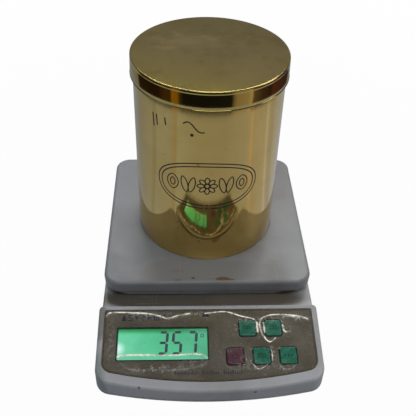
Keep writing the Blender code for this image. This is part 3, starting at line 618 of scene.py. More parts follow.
def lens_material():
    n = Nodes("window_pane")
    scuff = n.ramp(n.noise(400.0, 4.0, 0.7), 0.55, 0.8, 0.05, 0.11)
    n.set(Base_Color=n.mix(scuff, (0.5, 0.56, 0.52), (0.7, 0.74, 0.7)), Alpha=scuff,
          Roughness=n.ramp(n.noise(90.0), 0.3, 0.7, 0.04, 0.12))
    return n.material


def screen_material():
    """A lit display: deeper green along the top, a hot spot at the lamp by the left edge."""
    n = Nodes("lit_display")
    x, y, half_x, half_y = WINDOW
    across = n.math("DIVIDE", n.math("SUBTRACT", n.axis("X"), x), half_x)
    middle = CONSOLE @ Vector((x, y, 0.0))
    up = n.math("DIVIDE", n.math("SUBTRACT", n.axis("Y"), middle.y), half_y * math.cos(TILT))
    body = n.mix(n.ramp(up, 0.62, 0.97), (0.085, 0.57, 0.29), (0.001, 0.24, 0.045))
    body = n.mix(n.ramp(across, -0.2, 1.1, 0.0, 0.65), body, (0.060, 0.36, 0.20))
    lamp = tuple(CONSOLE @ Vector((x - 0.97 * half_x, y - 0.25 * half_y, 0.0)))
    halo = n.spot(lamp, (13 * MM, 9 * MM, 9 * MM), 0.95)
    body = n.mix(n.math("MULTIPLY", halo, 0.55), body, (0.22, 0.80, 0.52))
    body = n.mix(n.spot(lamp, (3.2 * MM, 3.6 * MM, 9 * MM), 0.9), body, (0.72, 1.0, 0.90))
    foot = n.ramp(up, -1.0, -0.55, 0.35, 0.0)
    body = n.mix(foot, body, (0.20, 0.62, 0.42))
    cloud = n.ramp(n.noise(45.0, 3.0, 0.5), 0.3, 0.7, 0.9, 1.08)
    n.set(Base_Color=(0.01, 0.05, 0.03, 1.0), Roughness=n.ramp(cloud, 0.9, 1.08, 0.25, 0.4))
    n.feed(n.shader.inputs["Emission Color"], body)
    n.feed(n.shader.inputs["Emission Strength"], cloud)
    return n.material


def ink_material(name, colour, other):
    n = Nodes(name)
    worn = n.ramp(n.noise(900.0, 3.0, 0.7), 0.45, 0.7)
    n.set(Base_Color=n.mix(worn, colour, other), Roughness=n.ramp(worn, 0.0, 1.0, 0.35, 0.6))
    return n.material


# ---------- housings ----------

def fillet(radius, steps):
    """(inset, drop) pairs round an edge, from the wall to the top face."""
    turns = [math.pi / 2 * step / steps for step in range(steps + 1)]
    return [(radius * (1 - math.cos(t)), radius * (1 - math.sin(t))) for t in turns]


def upper_shell(material):
    edge, back_share = 2.0 * MM, 0.35  # the back edge is crisper than the rest
    rings = [level(console_outline(SHELL), SEAM), level(console_outline(0.35 * MM), SEAM)]
    rings.append(level(console_outline(), SEAM + 0.35 * MM))
    for inset, drop in fillet(edge, 7):
        outline = console_outline(inset, inset * back_share)
        rings.append([(x, y, rim_height(y, drop * (back_share if y > BACK_BAND else 1))) for x, y in outline])
    rings.append(on_face(panel_outline(-0.45 * MM), 0.0))
    rings.append(on_face(panel_outline(-0.13 * MM), -0.13 * MM))
    rings.append(on_face(panel_outline(), -0.45 * MM))
    rings.append(on_face(panel_outline(), -RECESS))
    rings.append(on_face(panel_outline(2.4 * MM), -RECESS))
    rings.append(on_face(panel_outline(2.4 * MM), -RECESS - 2.0 * MM))
    rings.append(level(console_outline(SHELL), lambda y: rim_height(y, 3.2 * MM)))
    shell = loft("upper_shell", rings, loop=True)

    half, front = NECK_HALF, CONSOLE_BACK_Y - 2.0 * MM

    def neck(inset, z):
        radius = NECK_CORNER - inset
        right = arc((half - inset - radius, REAR_Y - inset - radius), radius, 0, math.pi / 2, 12)
        left = [(-x, y) for x, y in reversed(right)]
        return level(right + left + [(-half + inset, front), (half - inset, front)], z)

    rings = [neck(0.35 * MM, SEAM), neck(0.0, SEAM + 0.35 * MM)]
    rings += [neck(inset, DECK_Z - drop) for inset, drop in fillet(1.5 * MM, 6)]
    block = loft("neck", rings)
    inner = [neck(SHELL, SEAM - 2 * MM), neck(SHELL, DECK_Z - SHELL)]
    boolean(block, "DIFFERENCE", loft("neck_hollow", inner))
    hole = rounded_rectangle(15 * MM, 17 * MM, 2 * MM, (0, 13 * MM))
    through = [level(hole, DECK_Z + reach) for reach in (-9 * MM, 9 * MM)]
    boolean(block, "DIFFERENCE", loft("deck_hole", through))
    jack_low, jack_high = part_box("dc_jack")
    at = ((jack_low.x + jack_high.x) / 2, REAR_Y, (jack_low.z + jack_high.z) / 2)
    jack = turned("jack_hole", [(4.0 * MM, -6 * MM), (4.0 * MM, 6 * MM)], 32, centre=(0, 0))
    jack.data.transform(Matrix.Translation(at) @ Matrix.Rotation(math.pi / 2, 4, "X"))
    boolean(block, "DIFFERENCE", jack)
    boolean(shell, "UNION", block)
    even_normals(shell)
    return finish_piece(shell, material, "base", ["upper_housing"])


def weighing_tray(material):
    """The tray: a rounded top edge, an upper band, and below a step a lower band with rounder corners."""
    half, corner, foot_corner, edge = TRAY_HIGH.x, 13.0 * MM, 20.0 * MM, 2.5 * MM
    lip, foot, ledge = 0.3 * MM, 1.1 * MM, 0.25 * MM
    top, low = TRAY_HIGH.z, TRAY_LOW.z

    def ring(inset, z, radius):
        return level(rounded_rectangle(half - inset, half - inset, radius, (0, TRAY_Y), 16), z)

    rings = [ring(foot + 0.3 * MM, low, foot_corner), ring(foot, low + 0.3 * MM, foot_corner)]
    rings += [ring(foot, TRAY_STEP, foot_corner), ring(lip + ledge, TRAY_STEP, corner)]
    rings.append(ring(lip, TRAY_STEP + ledge, corner))
    rings += [ring(inset, top - drop, corner - inset) for inset, drop in fillet(edge, 8)]
    rings.append(ring(edge + 1.5 * MM, top, corner - edge - 1.5 * MM))
    inner_top, inner_foot = corner - 3.0 * MM, foot_corner - SHELL
    inner = [ring(3.0 * MM, top - SHELL, inner_top), ring(3.0 * MM, TRAY_STEP + SHELL, inner_top),
             ring(foot + SHELL, TRAY_STEP, inner_foot), ring(foot + SHELL, low, inner_foot)]
    tray = loft("weighing_tray", inner + rings, smooth=40)
    even_normals(tray, 40)
    return finish_piece(tray, material, "platform", ["platform_tray"])


# ---------- console ----------

def cut_keys(target, clearance):
    for name, (x, y) in KEYS.items():
        hole = rounded_rectangle(KEY_HALF[0] + clearance, KEY_HALF[1] + clearance, 2.0 * MM, (x, y), 6)
        boolean(target, "DIFFERENCE", loft(name + "_hole", [on_face(hole, -4 * MM), on_face(hole, 4 * MM)]))


def panel_sheet(material):
    outline = panel_outline(0.3 * MM)
    sheet = loft("panel_sheet", [on_face(outline, OVERLAY_TOP - 0.5 * MM), on_face(outline, OVERLAY_TOP)])
    cut_keys(sheet, 0.35 * MM)
    x, y, half_x, half_y = WINDOW
    hole = rounded_rectangle(half_x, half_y, 0.6 * MM, (x, y), 4)
    boolean(sheet, "DIFFERENCE", loft("window_hole", [on_face(hole, -4 * MM), on_face(hole, 4 * MM)]))
    sheet.data.shade_flat()
    return finish_piece(sheet, material, "base", ["panel_overlay"])


def bezel(material):
    """The dark line round the display window, and round each key a dark ring of painted shade."""
    x, y, half_x, half_y = WINDOW
    top = OVERLAY_TOP + 0.03 * MM
    outer = rounded_rectangle(half_x + 0.95 * MM, half_y + 0.95 * MM, 0.9 * MM, (x, y), 4)
    inner = rounded_rectangle(half_x, half_y, 0.6 * MM, (x, y), 4)
    rings = [on_face(outer, OVERLAY_TOP - 0.02 * MM), on_face(outer, top), on_face(inner, top),
             on_face(inner, -1.6 * MM), on_face(outer, -1.6 * MM)]
    finish_piece(loft("window_frame", rings, loop=True), material, "base")
    # painted shade: a dark ring on the print round each key, standing for the shaded gap
    for name, (key_x, key_y) in KEYS.items():
        shapes = [rounded_rectangle(KEY_HALF[0] + gap, KEY_HALF[1] + gap, 1.9 * MM + gap, (key_x, key_y), 6)
                  for gap in (0.95 * MM, 0.35 * MM)]
        outer, inner = shapes
        rings = [on_face(outer, OVERLAY_TOP - 0.02 * MM), on_face(outer, top), on_face(inner, top),
                 on_face(inner, -2.4 * MM), on_face(outer, -2.4 * MM)]
        finish_piece(loft(name + "_outline", rings, loop=True), material, "base")


def panel_border(material):
    """A dark brown band along the edge of the print, by the recess wall: painted shade."""
    top = OVERLAY_TOP + 0.02 * MM
    outer, inner = panel_outline(0.32 * MM), panel_outline(1.7 * MM)
    foot = top - 0.3 * MM
    rings = [on_face(outer, foot), on_face(outer, top), on_face(inner, top), on_face(inner, foot)]
    finish_piece(loft("panel_border", rings, loop=True), material, "base")


def add_prism(bm, outline, height, thick):
    low = [bm.verts.new(p) for p in on_face(outline, height - thick)]
    high = [bm.verts.new(p) for p in on_face(outline, height)]
    bm.faces.new(list(reversed(low)))
    bm.faces.new(high)
    for i in range(len(low)):
        j = (i + 1) % len(low)
        bm.faces.new((low[i], low[j], high[j], high[i]))


def print_piece(name, bm, material, body):
    bmesh.ops.recalc_face_normals(bm, faces=bm.faces)
    mesh = bpy.data.meshes.new(name)
    bm.to_mesh(mesh)
    bm.free()
    return finish_piece(new_object(name, mesh), material, body)


def segment_outline(a, b, width):
    """A bar from a to b with pointed ends, as a display's segment has."""
    a, b = Vector(a), Vector(b)
    along = (b - a).normalized()
    side = Vector((-along.y, along.x)) * width / 2
    tip = along * width / 2
    return [tuple(p) for p in (a, a + tip + side, b - tip + side, b, b - tip - side, a + tip - side)]


SEGMENTS = {"3": "abcdg", "5": "acdfg", "7": "abc"}
DIGITS = ((-39.0 * MM, "3"), (-28.3 * MM, "5"), (-17.0 * MM, "7"))  # (left edge, digit)
DIGIT_HIGH, DIGIT_LOW = -22.2 * MM, -39.6 * MM
DIGIT_WIDE, DIGIT_SLANT, SEGMENT_WIDE, SEGMENT_GAP = 6.0 * MM, 1.3 * MM, 2.1 * MM, 0.3 * MM
UNIT_MARK = (-5.6 * MM, -25.2 * MM)
GLASS_TOP = -1.55 * MM
INK_TOP, INK_THICK = GLASS_TOP + 0.06 * MM, 0.05 * MM


def segment_ends(left):
    """The two ends of every segment of the digit whose left edge is at left."""
    def spot(side, height):
        rise = (height - DIGIT_LOW) / (DIGIT_HIGH - DIGIT_LOW)
        return (left + side * DIGIT_WIDE + DIGIT_SLANT * rise, height)

    high, low, middle = DIGIT_HIGH, DIGIT_LOW, (DIGIT_HIGH + DIGIT_LOW) / 2
    return {
        "a": (spot(0, high), spot(1, high)), "g": (spot(0, middle), spot(1, middle)),
        "d": (spot(0, low), spot(1, low)), "f": (spot(0, middle), spot(0, high)),
        "b": (spot(1, middle), spot(1, high)), "c": (spot(1, low), spot(1, middle)),
    }


def lcd_digits(ink):
    """The digits, and a small square where the display shows its unit."""
    bm = bmesh.new()
    for left, digit in DIGITS:
        ends = segment_ends(left)
        for segment in SEGMENTS[digit]:
            a, b = (Vector(p) for p in ends[segment])
            trim = (b - a).normalized() * SEGMENT_GAP
            add_prism(bm, segment_outline(a + trim, b - trim, SEGMENT_WIDE), INK_TOP, INK_THICK)
    sides = [(0, dy, 1.0, 0.25) for dy in (1.1, -1.1)] + [(dx, 0, 0.25, 1.35) for dx in (-1.0, 1.0)]
    for dx, dy, half_x, half_y in sides:
        at = (UNIT_MARK[0] + dx * MM, UNIT_MARK[1] + dy * MM)
        add_prism(bm, bar(*at, half_x * MM, half_y * MM), INK_TOP, INK_THICK)
    print_piece("lcd_digits", bm, ink, "base")


def display(screen, pane, ink):
    """The lit screen, the pane over it and what the screen shows."""
    x, y, half_x, half_y = WINDOW
    inset = 0.3 * MM
    outline = rounded_rectangle(half_x - inset, half_y - inset, 0.5 * MM, (x, y), 4)
    glass = loft("lcd_screen", [on_face(outline, GLASS_TOP - 1.8 * MM), on_face(outline, GLASS_TOP)])
    finish_piece(glass, screen, "base", ["lcd_glass"])
    rings = [on_face(outline, -1.25 * MM), on_face(outline, -0.6 * MM)]
    bevelled = rounded_rectangle(half_x - inset - 0.15 * MM, half_y - inset - 0.15 * MM, 0.4 * MM, (x, y), 4)
    window = loft("lcd_window", [*rings, on_face(bevelled, -0.45 * MM)])
    finish_piece(window, pane, "base", ["lcd_lens"])
    lcd_digits(ink)


def key_cap(name, x, y, plastic):
    half_x, half_y = KEY_HALF

    def outline(inset, radius=1.8 * MM):
        return rounded_rectangle(half_x - inset, half_y - inset, radius, (x, y), 7)

    rings = [on_face(outline(0.0), -3.5 * MM), on_face(outline(0.0), KEY_PROUD - 0.75 * MM)]
    for inset, drop in fillet(0.7 * MM, 5)[1:]:
        rings.append(on_face(outline(inset, 1.8 * MM - inset * 0.8), KEY_PROUD - 0.05 * MM - drop))
    dish = 0.10 * MM
    for share in (0.3, 0.55, 0.8, 0.95):
        inset = 0.7 * MM + share * (half_x - 0.75 * MM)
        depth = dish * math.sin(share * math.pi / 2)
        radius = max(1.2 * MM * (1 - share), 0.05 * MM)
        rings.append(on_face(outline(inset, radius), KEY_PROUD - 0.05 * MM - depth))
    cap = loft(name + "_cap_shape", rings, smooth=50)
    return finish_piece(cap, plastic, name + "_cap", [name])


def ring_outline_boxes(radius, width, gap=0.0, steps=20):
    """Short bars round a circle, leaving a gap at the top."""
    turns = np.linspace(math.pi / 2 + gap, 2.5 * math.pi - gap, steps + 1)
    pairs = []
    for a, b in zip(turns, turns[1:]):
        pairs.append([((radius + s * width / 2) * math.cos(t), (radius + s * width / 2) * math.sin(t))
                      for t, s in ((a, 1), (a, -1), (b, -1), (b, 1))])
    return pairs


def key_signs(ink):
    """A plain sign on each key, in mm: bars, six dots, an on-off ring, a box and two arrows."""
    signs = {
        "key_units": [bar(-2.6, 0, 0.3, 1.5), bar(2.6, 0, 0.3, 1.5),
                      bar(0, 0.8, 1.5, 0.3), bar(0, -0.8, 1.5, 0.3)],
        "key_count": [bar(x, y, 0.55, 0.55) for x in (-2.2, 0, 2.2) for y in (-0.95, 0.95)],
        "key_power": [*ring_outline_boxes(2.1, 0.55, 0.6), bar(0, 1.7, 0.28, 1.3)],
        "key_mode": [bar(0, 1.35, 2.9, 0.28), bar(0, -1.35, 2.9, 0.28), bar(-2.62, 0, 0.28, 1.35),
                     bar(2.62, 0, 0.28, 1.35), bar(0, 0, 1.3, 0.28)],
        "key_tare": [[(-3.1, 1.2), (-3.1, -1.2), (-1.3, 0)], [(3.1, -1.2), (3.1, 1.2), (1.3, 0)],
                     bar(0, 0, 0.3, 1.6)],
    }
    for name, shapes in signs.items():
        x, y = KEYS[name]
        bm = bmesh.new()
        for shape in shapes:
            add_prism(bm, [(x + a * MM, y + b * MM) for a, b in shape], KEY_PROUD - 0.04 * MM, 0.2 * MM)
        print_piece(name + "_sign", bm, ink, name + "_cap")


def panel_print(ink):
    """Plain signs in place of wording, in mm: shapes over the display, fine ticks and a weight."""
    bm = bmesh.new()
    top = OVERLAY_TOP + 0.03 * MM

    def add(shape, at):
        add_prism(bm, [(at[0] + x * MM, at[1] + y * MM) for x, y in shape], top, 0.05 * MM)

    signs = [
        [[(-2.1, -2.7), (2.1, -2.7), (0.0, 2.7)]],
        [bar(0, y, 1.9, 0.45) for y in (-2.2, 0.0, 2.2)],
        [bar(0, 0, 1.3, 1.3)],
        [[(0, -2.8), (2.0, 0), (0, 2.8), (-2.0, 0)]],
        [circle(1.9, 16)],
        [bar(x, 0, 0.45, 2.7) for x in (-1.6, 0.0, 1.6)],
        [[(-2.1, 2.7), (2.1, 2.7), (0.0, -2.7)]],
    ]
    first_sign, sign_pitch, signs_y = -65.4, 5.0, -10.1
    for index, sign in enumerate(signs):
        for shape in sign:
            add(shape, ((first_sign + index * sign_pitch) * MM, signs_y * MM))
    weight = [[(-2.8, -2.4), (2.8, -2.4), (2.0, 0.9), (-2.0, 0.9)]]
    weight += [[(x, y + 1.9) for x, y in shape] for shape in ring_outline_boxes(1.0, 0.7)]
    for shape in weight:
        add(shape, (-2.6 * MM, -7.4 * MM))
    tick_pitch, ticks_y = 1.62, -55.6
    for first, count in ((-26.0, 11), (-5.6, 8), (10.0, 9)):
        for index in range(count):
            tall = 1.45 if index % 4 == 0 else 0.85
            add(bar(0, tall - 1.2, 0.42, tall), ((first + index * tick_pitch) * MM, ticks_y * MM))
    print_piece("panel_signs", bm, ink, "base")


# Crests of the film's creases, in mm on the console face: (height, half width, strength, route).
# About half of the route points come from points on the photo, projected to the face.
CREASES = [
    (0.34, 1.05, 1.0, [(-79, -8.5), (-75, -5.6), (-58, -6), (-46, -7), (-38, -9), (-32, -11), (-23, -8.5),
                       (-15, -7)]),
    (0.20, 2.20, 0.45, [(-62, -6.3), (-46, -7.5), (-36, -10.2), (-30, -11.5), (-20, -9), (-14, -7)]),
    (0.34, 0.90, 1.0, [(-3, -7), (11, -5.5), (18, -7), (24, -9.3), (30, -11), (34.5, -12.8)]),
    (0.34, 1.00, 0.95, [(76.5, -12.5), (71, -10.4), (62, -9), (51, -8.6), (44.5, -9.8), (40.8, -12),
                        (39, -16.7), (39.5, -22.6), (42, -28.3), (45.7, -31.6), (50, -28.6)]),
    (0.22, 2.40, 0.55, [(77, -12.8), (70, -10.8), (60, -9.8), (57.5, -11.5)]),
    (0.28, 0.75, 0.9, [(31.8, -50.4), (35.4, -53.3), (40, -51.8), (42, -50.4)]),
    (0.26, 0.70, 0.55, [(51.4, -51.4), (55.7, -53.8), (61, -52.7), (64, -50.3)]),
    (0.22, 0.80, 0.40, [(11.8, -49), (13, -52), (18.4, -53), (25.3, -52.3), (30, -48)]),
    (0.40, 1.30, 1.0, [(-68.8, -42.8), (-66, -41.6), (-51, -41.2), (-28.7, -41.7), (-14.5, -40.9),
                       (-6, -41.4), (-2.4, -44.4)]),
    (0.26, 1.20, 0.50, [(-1.9, -46.5), (-7.3, -50), (-17.5, -52.3), (-28.7, -53), (-45.4, -52.8),
                        (-55.5, -53.4), (-60.5, -51.8), (-66, -48)]),
    (0.20, 0.45, 0.40, [(37, -56.3), (43, -60.6)]),
    (0.30, 1.30, 1.0, [(36.9, -15.5), (36.9, -22.8)]),
    (0.30, 0.95, 1.0, [(41.9, -16.0), (42.1, -24.4)]),
    (0.30, 1.15, 1.0, [(56.5, -18.0), (56.9, -22.0), (58.6, -23.6)]),
    (0.22, 0.75, 0.80, [(46.2, -38.6), (46.5, -42), (46.2, -47)]),
    (0.22, 0.60, 0.55, [(26.2, -43), (26.6, -45.6), (28.6, -47.2)]),
    (0.24, 0.60, 0.60, [(55.0, -13.2), (56.4, -15.8)]),
    (0.24, 0.60, 0.60, [(21.8, -13.4), (22.8, -13.0), (26.0, -13.2)]),
    (0.22, 0.70, 0.70, [(30.4, -38.2), (32.2, -37.4)]),
    (0.22, 0.70, 0.80, [(51.0, -37.8), (52.6, -37.2)]),
]
# Patches of fine crinkles: (x, y, half x, half y, strength)
CRINKLES = [
    (-45, -8, 30, 4.5, 0.40), (38, -13.5, 22, 4.0, 0.60), (39, -21, 4.0, 8, 0.90), (59, -21, 4.5, 6, 1.0),
    (68, -11, 10, 4, 0.55), (28, -48, 8, 6, 0.60), (-38, -52.5, 32, 4.5, 0.50), (45, -52, 22, 4, 0.35),
    (-10, -48, 10, 5, 0.40), (-74, -30, 3, 20, 0.35), (10, -37, 10, 4, 0.30), (20, -20, 5, 6, 0.45),
    (47, -42, 2.5, 7, 0.80), (-8, -7, 8, 3, 0.5),
]


def route_distance(px, py, route):
    """Distance of every point to the polyline."""
    best = np.full(px.shape, 1e9)
    for (ax, ay), (bx, by) in zip(route, route[1:]):
        dx, dy = bx - ax, by - ay
        t = np.clip(((px - ax) * dx + (py - ay) * dy) / (dx * dx + dy * dy), 0, 1)
        best = np.minimum(best, np.hypot(px - ax - t * dx, py - ay - t * dy))
    return best


def curved(route, per_span=6):
    """The route through its points as a Catmull-Rom curve."""
    p = [np.array(q, float) for q in route]
    p = [2 * p[0] - p[1], *p, 2 * p[-1] - p[-2]]
    made = []
    for a, b, c, d in zip(p, p[1:], p[2:], p[3:]):
        for step in range(per_span):
            t = step / per_span
            made.append(0.5 * (2 * b + (c - a) * t + (2 * a - 5 * b + 4 * c - d) * t**2
                               + (3 * b - a - 3 * c + d) * t**3))
    return [tuple(q) for q in (*made, p[-2])]


FILM_COLUMNS, FILM_ROWS = 301, 111
FILM_MARGIN = 0.9  # mm between the film's edge and the recess
FILM_LIE, FILM_EDGE_LIE = 0.12, 0.08  # mm over the print, in the middle and at the edge
EDGE_FADE = 1.5  # mm over which the film comes down to its edge
TENT_FADE = 1.9  # mm over which it comes down from a key


def slack(x, y):
    """The film's broad and fine unevenness at a point of the face."""
    broad = noise.noise(Vector((x * 0.16, y * 0.22, 3.0)))
    return broad + 0.5 * noise.noise(Vector((x * 0.5, y * 0.6, 7.0)))


def film_sheet(material):
    """The loose film, in mm: it lies on the print, tents over the keys and stands up in creases."""
    columns, rows = FILM_COLUMNS, FILM_ROWS
    half = (PANEL_HALF - FILM_MARGIN * MM) / MM
    back = PANEL_BACK / MM - FILM_MARGIN
    print_top = OVERLAY_TOP / MM
    outline = np.array(panel_outline(FILM_MARGIN * MM)) / MM
    front_points = outline[outline[:, 1] < -20]
    order = np.argsort(front_points[:, 0])
    xs = np.linspace(-half, half, columns)
    front = np.interp(xs, front_points[order, 0], front_points[order, 1])
    share = np.linspace(0, 1, rows)
    px = np.repeat(xs[None, :], rows, 0)
    py = back + share[:, None] * (front[None, :] - back)
    height = np.full(px.shape, print_top + FILM_LIE)
    for x, y in KEYS.values():
        away = np.hypot(np.maximum(np.abs(px - x / MM) - KEY_HALF[0] / MM, 0),
                        np.maximum(np.abs(py - y / MM) - KEY_HALF[1] / MM, 0))
        tent = np.exp(-((away / TENT_FADE) ** 2))
        height = np.maximum(height, print_top + FILM_LIE + (KEY_PROUD - OVERLAY_TOP) / MM * tent)
    crease, crinkle = np.zeros(px.shape), np.zeros(px.shape)
    for x, y, half_x, half_y, strength in CRINKLES:
        away = np.hypot((px - x) / half_x, (py - y) / half_y)
        crinkle = np.maximum(crinkle, strength * np.clip(1.3 - away, 0, 1))
    for tall, half_width, strength, route in CREASES:
        away = route_distance(px, py, curved(route))
        ridge = np.exp(-((away / half_width) ** 2))
        height += tall * ridge
        crease = np.maximum(crease, strength * np.exp(-((away / (half_width * 0.8)) ** 2)))
    wrinkle = np.array([[slack(a, b) for a, b in zip(row_x, row_y)] for row_x, row_y in zip(px, py)])
    height += 0.10 * np.clip(wrinkle, 0.0, 1.0)
    edge = np.minimum.reduce([px + half, half - px, back - py, py - front[None, :]])
    edge_lie = print_top + FILM_EDGE_LIE
    height = edge_lie + (height - edge_lie) * np.clip(edge / EDGE_FADE, 0, 1)
    layers = [height, height - FILM_THICK / MM]
    verts = [tuple(CONSOLE @ Vector((a * MM, b * MM, h * MM)))
             for layer in layers for a, b, h in zip(px.ravel(), py.ravel(), layer.ravel())]
    count = rows * columns
    faces = []
    for r in range(rows - 1):
        for c in range(columns - 1):
            i = r * columns + c
            quad = (i, i + columns, i + columns + 1, i + 1)
            faces += [quad, tuple(k + count for k in reversed(quad))]
    last_row, last = count - columns, columns - 1
    border = [(c, c + 1) for c in range(last)] + [(last_row + c + 1, last_row + c) for c in range(last)]
    for r in range(rows - 1):
        i = r * columns
        border += [(i + columns, i), (i + last, i + columns + last)]
    faces += [(a, b, b + count, a + count) for a, b in border]
    mesh = bpy.data.meshes.new("film_sheet")
    mesh.from_pydata(verts, [], faces)
    unseen = np.zeros(count)  # the creases are painted on the upper side alone
    for name, values in (("crease", crease), ("crinkle", crinkle)):
        both = np.concatenate([values.ravel(), unseen]).astype(np.float32)
        mesh.attributes.new(name, "FLOAT", "POINT").data.foreach_set("value", both)
    mesh.shade_smooth()
    return finish_piece(new_object("film_sheet", mesh), material, "base", ["panel_film"])


# ---------- canister ----------

def canister(body_brass, lid_brass, ink):
    low, rim = WALL_LOW.z, WALL_HIGH.z
    inner = CAN_R - CAN_SHEET
    wall = [(CAN_R - 0.35 * MM, low), (CAN_R - 0.12 * MM, low + 0.1 * MM), (CAN_R, low + 0.45 * MM)]
    wall += [(CAN_R, low + (rim - low) * share) for share in (0.1, 0.3, 0.5, 0.7, 0.9)]
    wall += [(CAN_R, rim - 0.2 * MM), (CAN_R - 0.1 * MM, rim)]
    wall += [(inner + 0.1 * MM, rim), (inner, rim - 0.1 * MM)]
    wall += [(inner, low + (rim - low) * share) for share in (0.9, 0.5, 0.1)] + [(inner, low)]
    body = turned("canister_body", wall, 320, loop=True)
    finish_piece(body, body_brass, "canister", ["canister_wall"])
    edge = 0.75 * MM
    top, skirt_low = LID_HIGH.z, LID_LOW.z
    cap = [(LID_R - edge - 6 * MM, top), (LID_R - edge - 0.6 * MM, top)]
    cap += [(LID_R - inset - 0.35 * MM, top - drop) for inset, drop in reversed(fillet(edge, 8))]
    cap += [(LID_R - inset * MM, top - drop * MM) for inset, drop in ((0.30, 2.4), (0.38, 2.7), (0.28, 3.0))]
    bead = 0.72 * MM
    cap += [(LID_R - 0.02 * MM, skirt_low + 2 * bead + 1.0 * MM), (LID_R - 0.12 * MM, skirt_low + 2 * bead)]
    centre = (LID_R - 0.48 * MM, skirt_low + bead)
    cap += [(centre[0] + bead * math.cos(t), centre[1] + bead * math.sin(t))
            for t in np.linspace(math.radians(60), math.radians(-90), 9)]
    cap += [(CAN_R + 0.38 * MM, skirt_low + 0.35 * MM), (LID_R - 0.55 * MM, skirt_low + 2 * bead)]
    cap += [(LID_R - 0.85 * MM, top - 1.6 * MM), (LID_R - 1.9 * MM, top - 0.5 * MM)]
    lid = turned("canister_lid_cap", cap, 320)
    finish_piece(lid, lid_brass, "lid", ["canister_lid"])
    badge(ink)
    marker_dashes(ink)


def badge_outline(inset, steps=96):
    """A plump oval as (arc length, height above the tray), a little squarer below."""
    half, middle = 39.4 * MM - inset, 75.9 * MM
    points = []
    for step in range(steps):
        turn = 2 * math.pi * step / steps
        c, s = math.cos(turn), math.sin(turn)
        power, tall = (2.08, 21.0 * MM) if s > 0 else (2.3, 21.3 * MM)
        points.append((half * math.copysign(abs(c) ** (2 / power), c),
                       middle + (tall - inset) * math.copysign(abs(s) ** (2 / power), s)))
    return points


BADGE_SHIFT = -2.0 * MM  # the badge sits a little left of the front


def on_can(u, v, proud):
    """A point on the canister's skin: u along the girth from the front, v above the tray."""
    turn = -math.pi / 2 + (u + BADGE_SHIFT) / CAN_R
    radius = CAN_R + proud
    return (radius * math.cos(turn), TRAY_Y + radius * math.sin(turn), TRAY_HIGH.z + v)


def inlay_line(bm, points, width, closed=True):
    """A filled engraved line of that width along the points."""
    points = [Vector(p) for p in points]
    count = len(points)
    rows = []
    for i, p in enumerate(points):
        before = points[i - 1] if closed or i else points[i]
        after = points[(i + 1) % count] if closed or i < count - 1 else points[i]
        along = (after - before).normalized()
        side = Vector((-along.y, along.x)) * width / 2
        rows.append([bm.verts.new(on_can(*(p + side * s), h))
                     for s, h in ((-1, -0.15 * MM), (-1, 0.02 * MM), (1, 0.02 * MM), (1, -0.15 * MM))])
    spans = list(zip(rows, rows[1:] + rows[:1])) if closed else list(zip(rows, rows[1:]))
    for a, b in spans:
        for k in range(4):
            bm.faces.new((a[k], a[(k + 1) % 4], b[(k + 1) % 4], b[k]))
    if not closed:
        bm.faces.new(rows[0])
        bm.faces.new(list(reversed(rows[-1])))


def leaf(length, width, steps=12):
    """A pointed leaf outline along +u, centred."""
    t = np.linspace(0, math.pi, steps)
    upper = [(-length / 2 * math.cos(a), width / 2 * math.sin(a) ** 1.3) for a in t]
    return upper + [(x, -y) for x, y in reversed(upper[1:-1])]


def placed(shape, at, turn=0.0):
    c, s = math.cos(turn), math.sin(turn)
    return [(at[0] + x * c - y * s, at[1] + x * s + y * c) for x, y in shape]


def badge(ink):
    """A double oval line round a row of leaves, buds and a rosette, inlaid in black."""
    bm = bmesh.new()
    line, fine = 0.98 * MM, 0.90 * MM
    inlay_line(bm, badge_outline(0.0), line)
    inlay_line(bm, badge_outline(2.9 * MM), line)
    row = 76.2 * MM
    for petal in range(8):
        turn = petal * math.pi / 4
        at = (4.9 * MM * math.cos(turn), row + 4.9 * MM * math.sin(turn))
        inlay_line(bm, placed(leaf(5.6 * MM, 3.5 * MM), at, turn), fine)
    inlay_line(bm, circle(1.8 * MM, 20, (0, row)), fine)
    for side in (-1, 1):
        tall = math.pi / 2
        for lean in (-1, 1):
            at = (side * 14.4 * MM + lean * 2.8 * MM, row)
            inlay_line(bm, placed(leaf(14.5 * MM, 4.9 * MM), at, tall - lean * 0.22), fine)
        bud = (side * 26.8 * MM, row)
        inlay_line(bm, placed(leaf(13.6 * MM, 9.2 * MM), bud, tall), fine)
        inlay_line(bm, placed(leaf(7.0 * MM, 4.0 * MM), bud, tall), fine)
    print_piece("canister_badge", bm, ink, "canister")


def marker_dashes(ink):
    """Plain worn strokes of a marker pen, above the badge."""
    bm = bmesh.new()
    for u, tall in ((-44.0, 11.0), (-40.6, 9.0), (-33.0, 6.0)):
        stroke = [(u * MM + lean * 0.7 * MM, (129.5 - lean * tall) * MM) for lean in np.linspace(0, 1, 6)]
        inlay_line(bm, stroke, 1.15 * MM, closed=False)
    wave = [((-18.5 + 15.5 * t) * MM, (129.0 + 2.2 * math.sin(2 * math.pi * t) - 5.5 * t * t) * MM)
            for t in np.linspace(0, 1, 18)]
    inlay_line(bm, wave, 1.0 * MM, closed=False)
    inlay_line(bm, circle(0.7 * MM, 12, (-12.0 * MM, 120.5 * MM)), 1.2 * MM)
    print_piece("marker_dashes", bm, ink, "canister")


# ---------- put together ----------

def dress_cad_nodes(shared):
    """The CAD nodes that stay in view take finished materials."""
    for name, node in NODES.items():
        slot = next(s["material_slot"] for s in frame["record"]["subparts"] if s["node"] == name)
        node.data.materials.clear()
        node.data.materials.append(shared[slot])


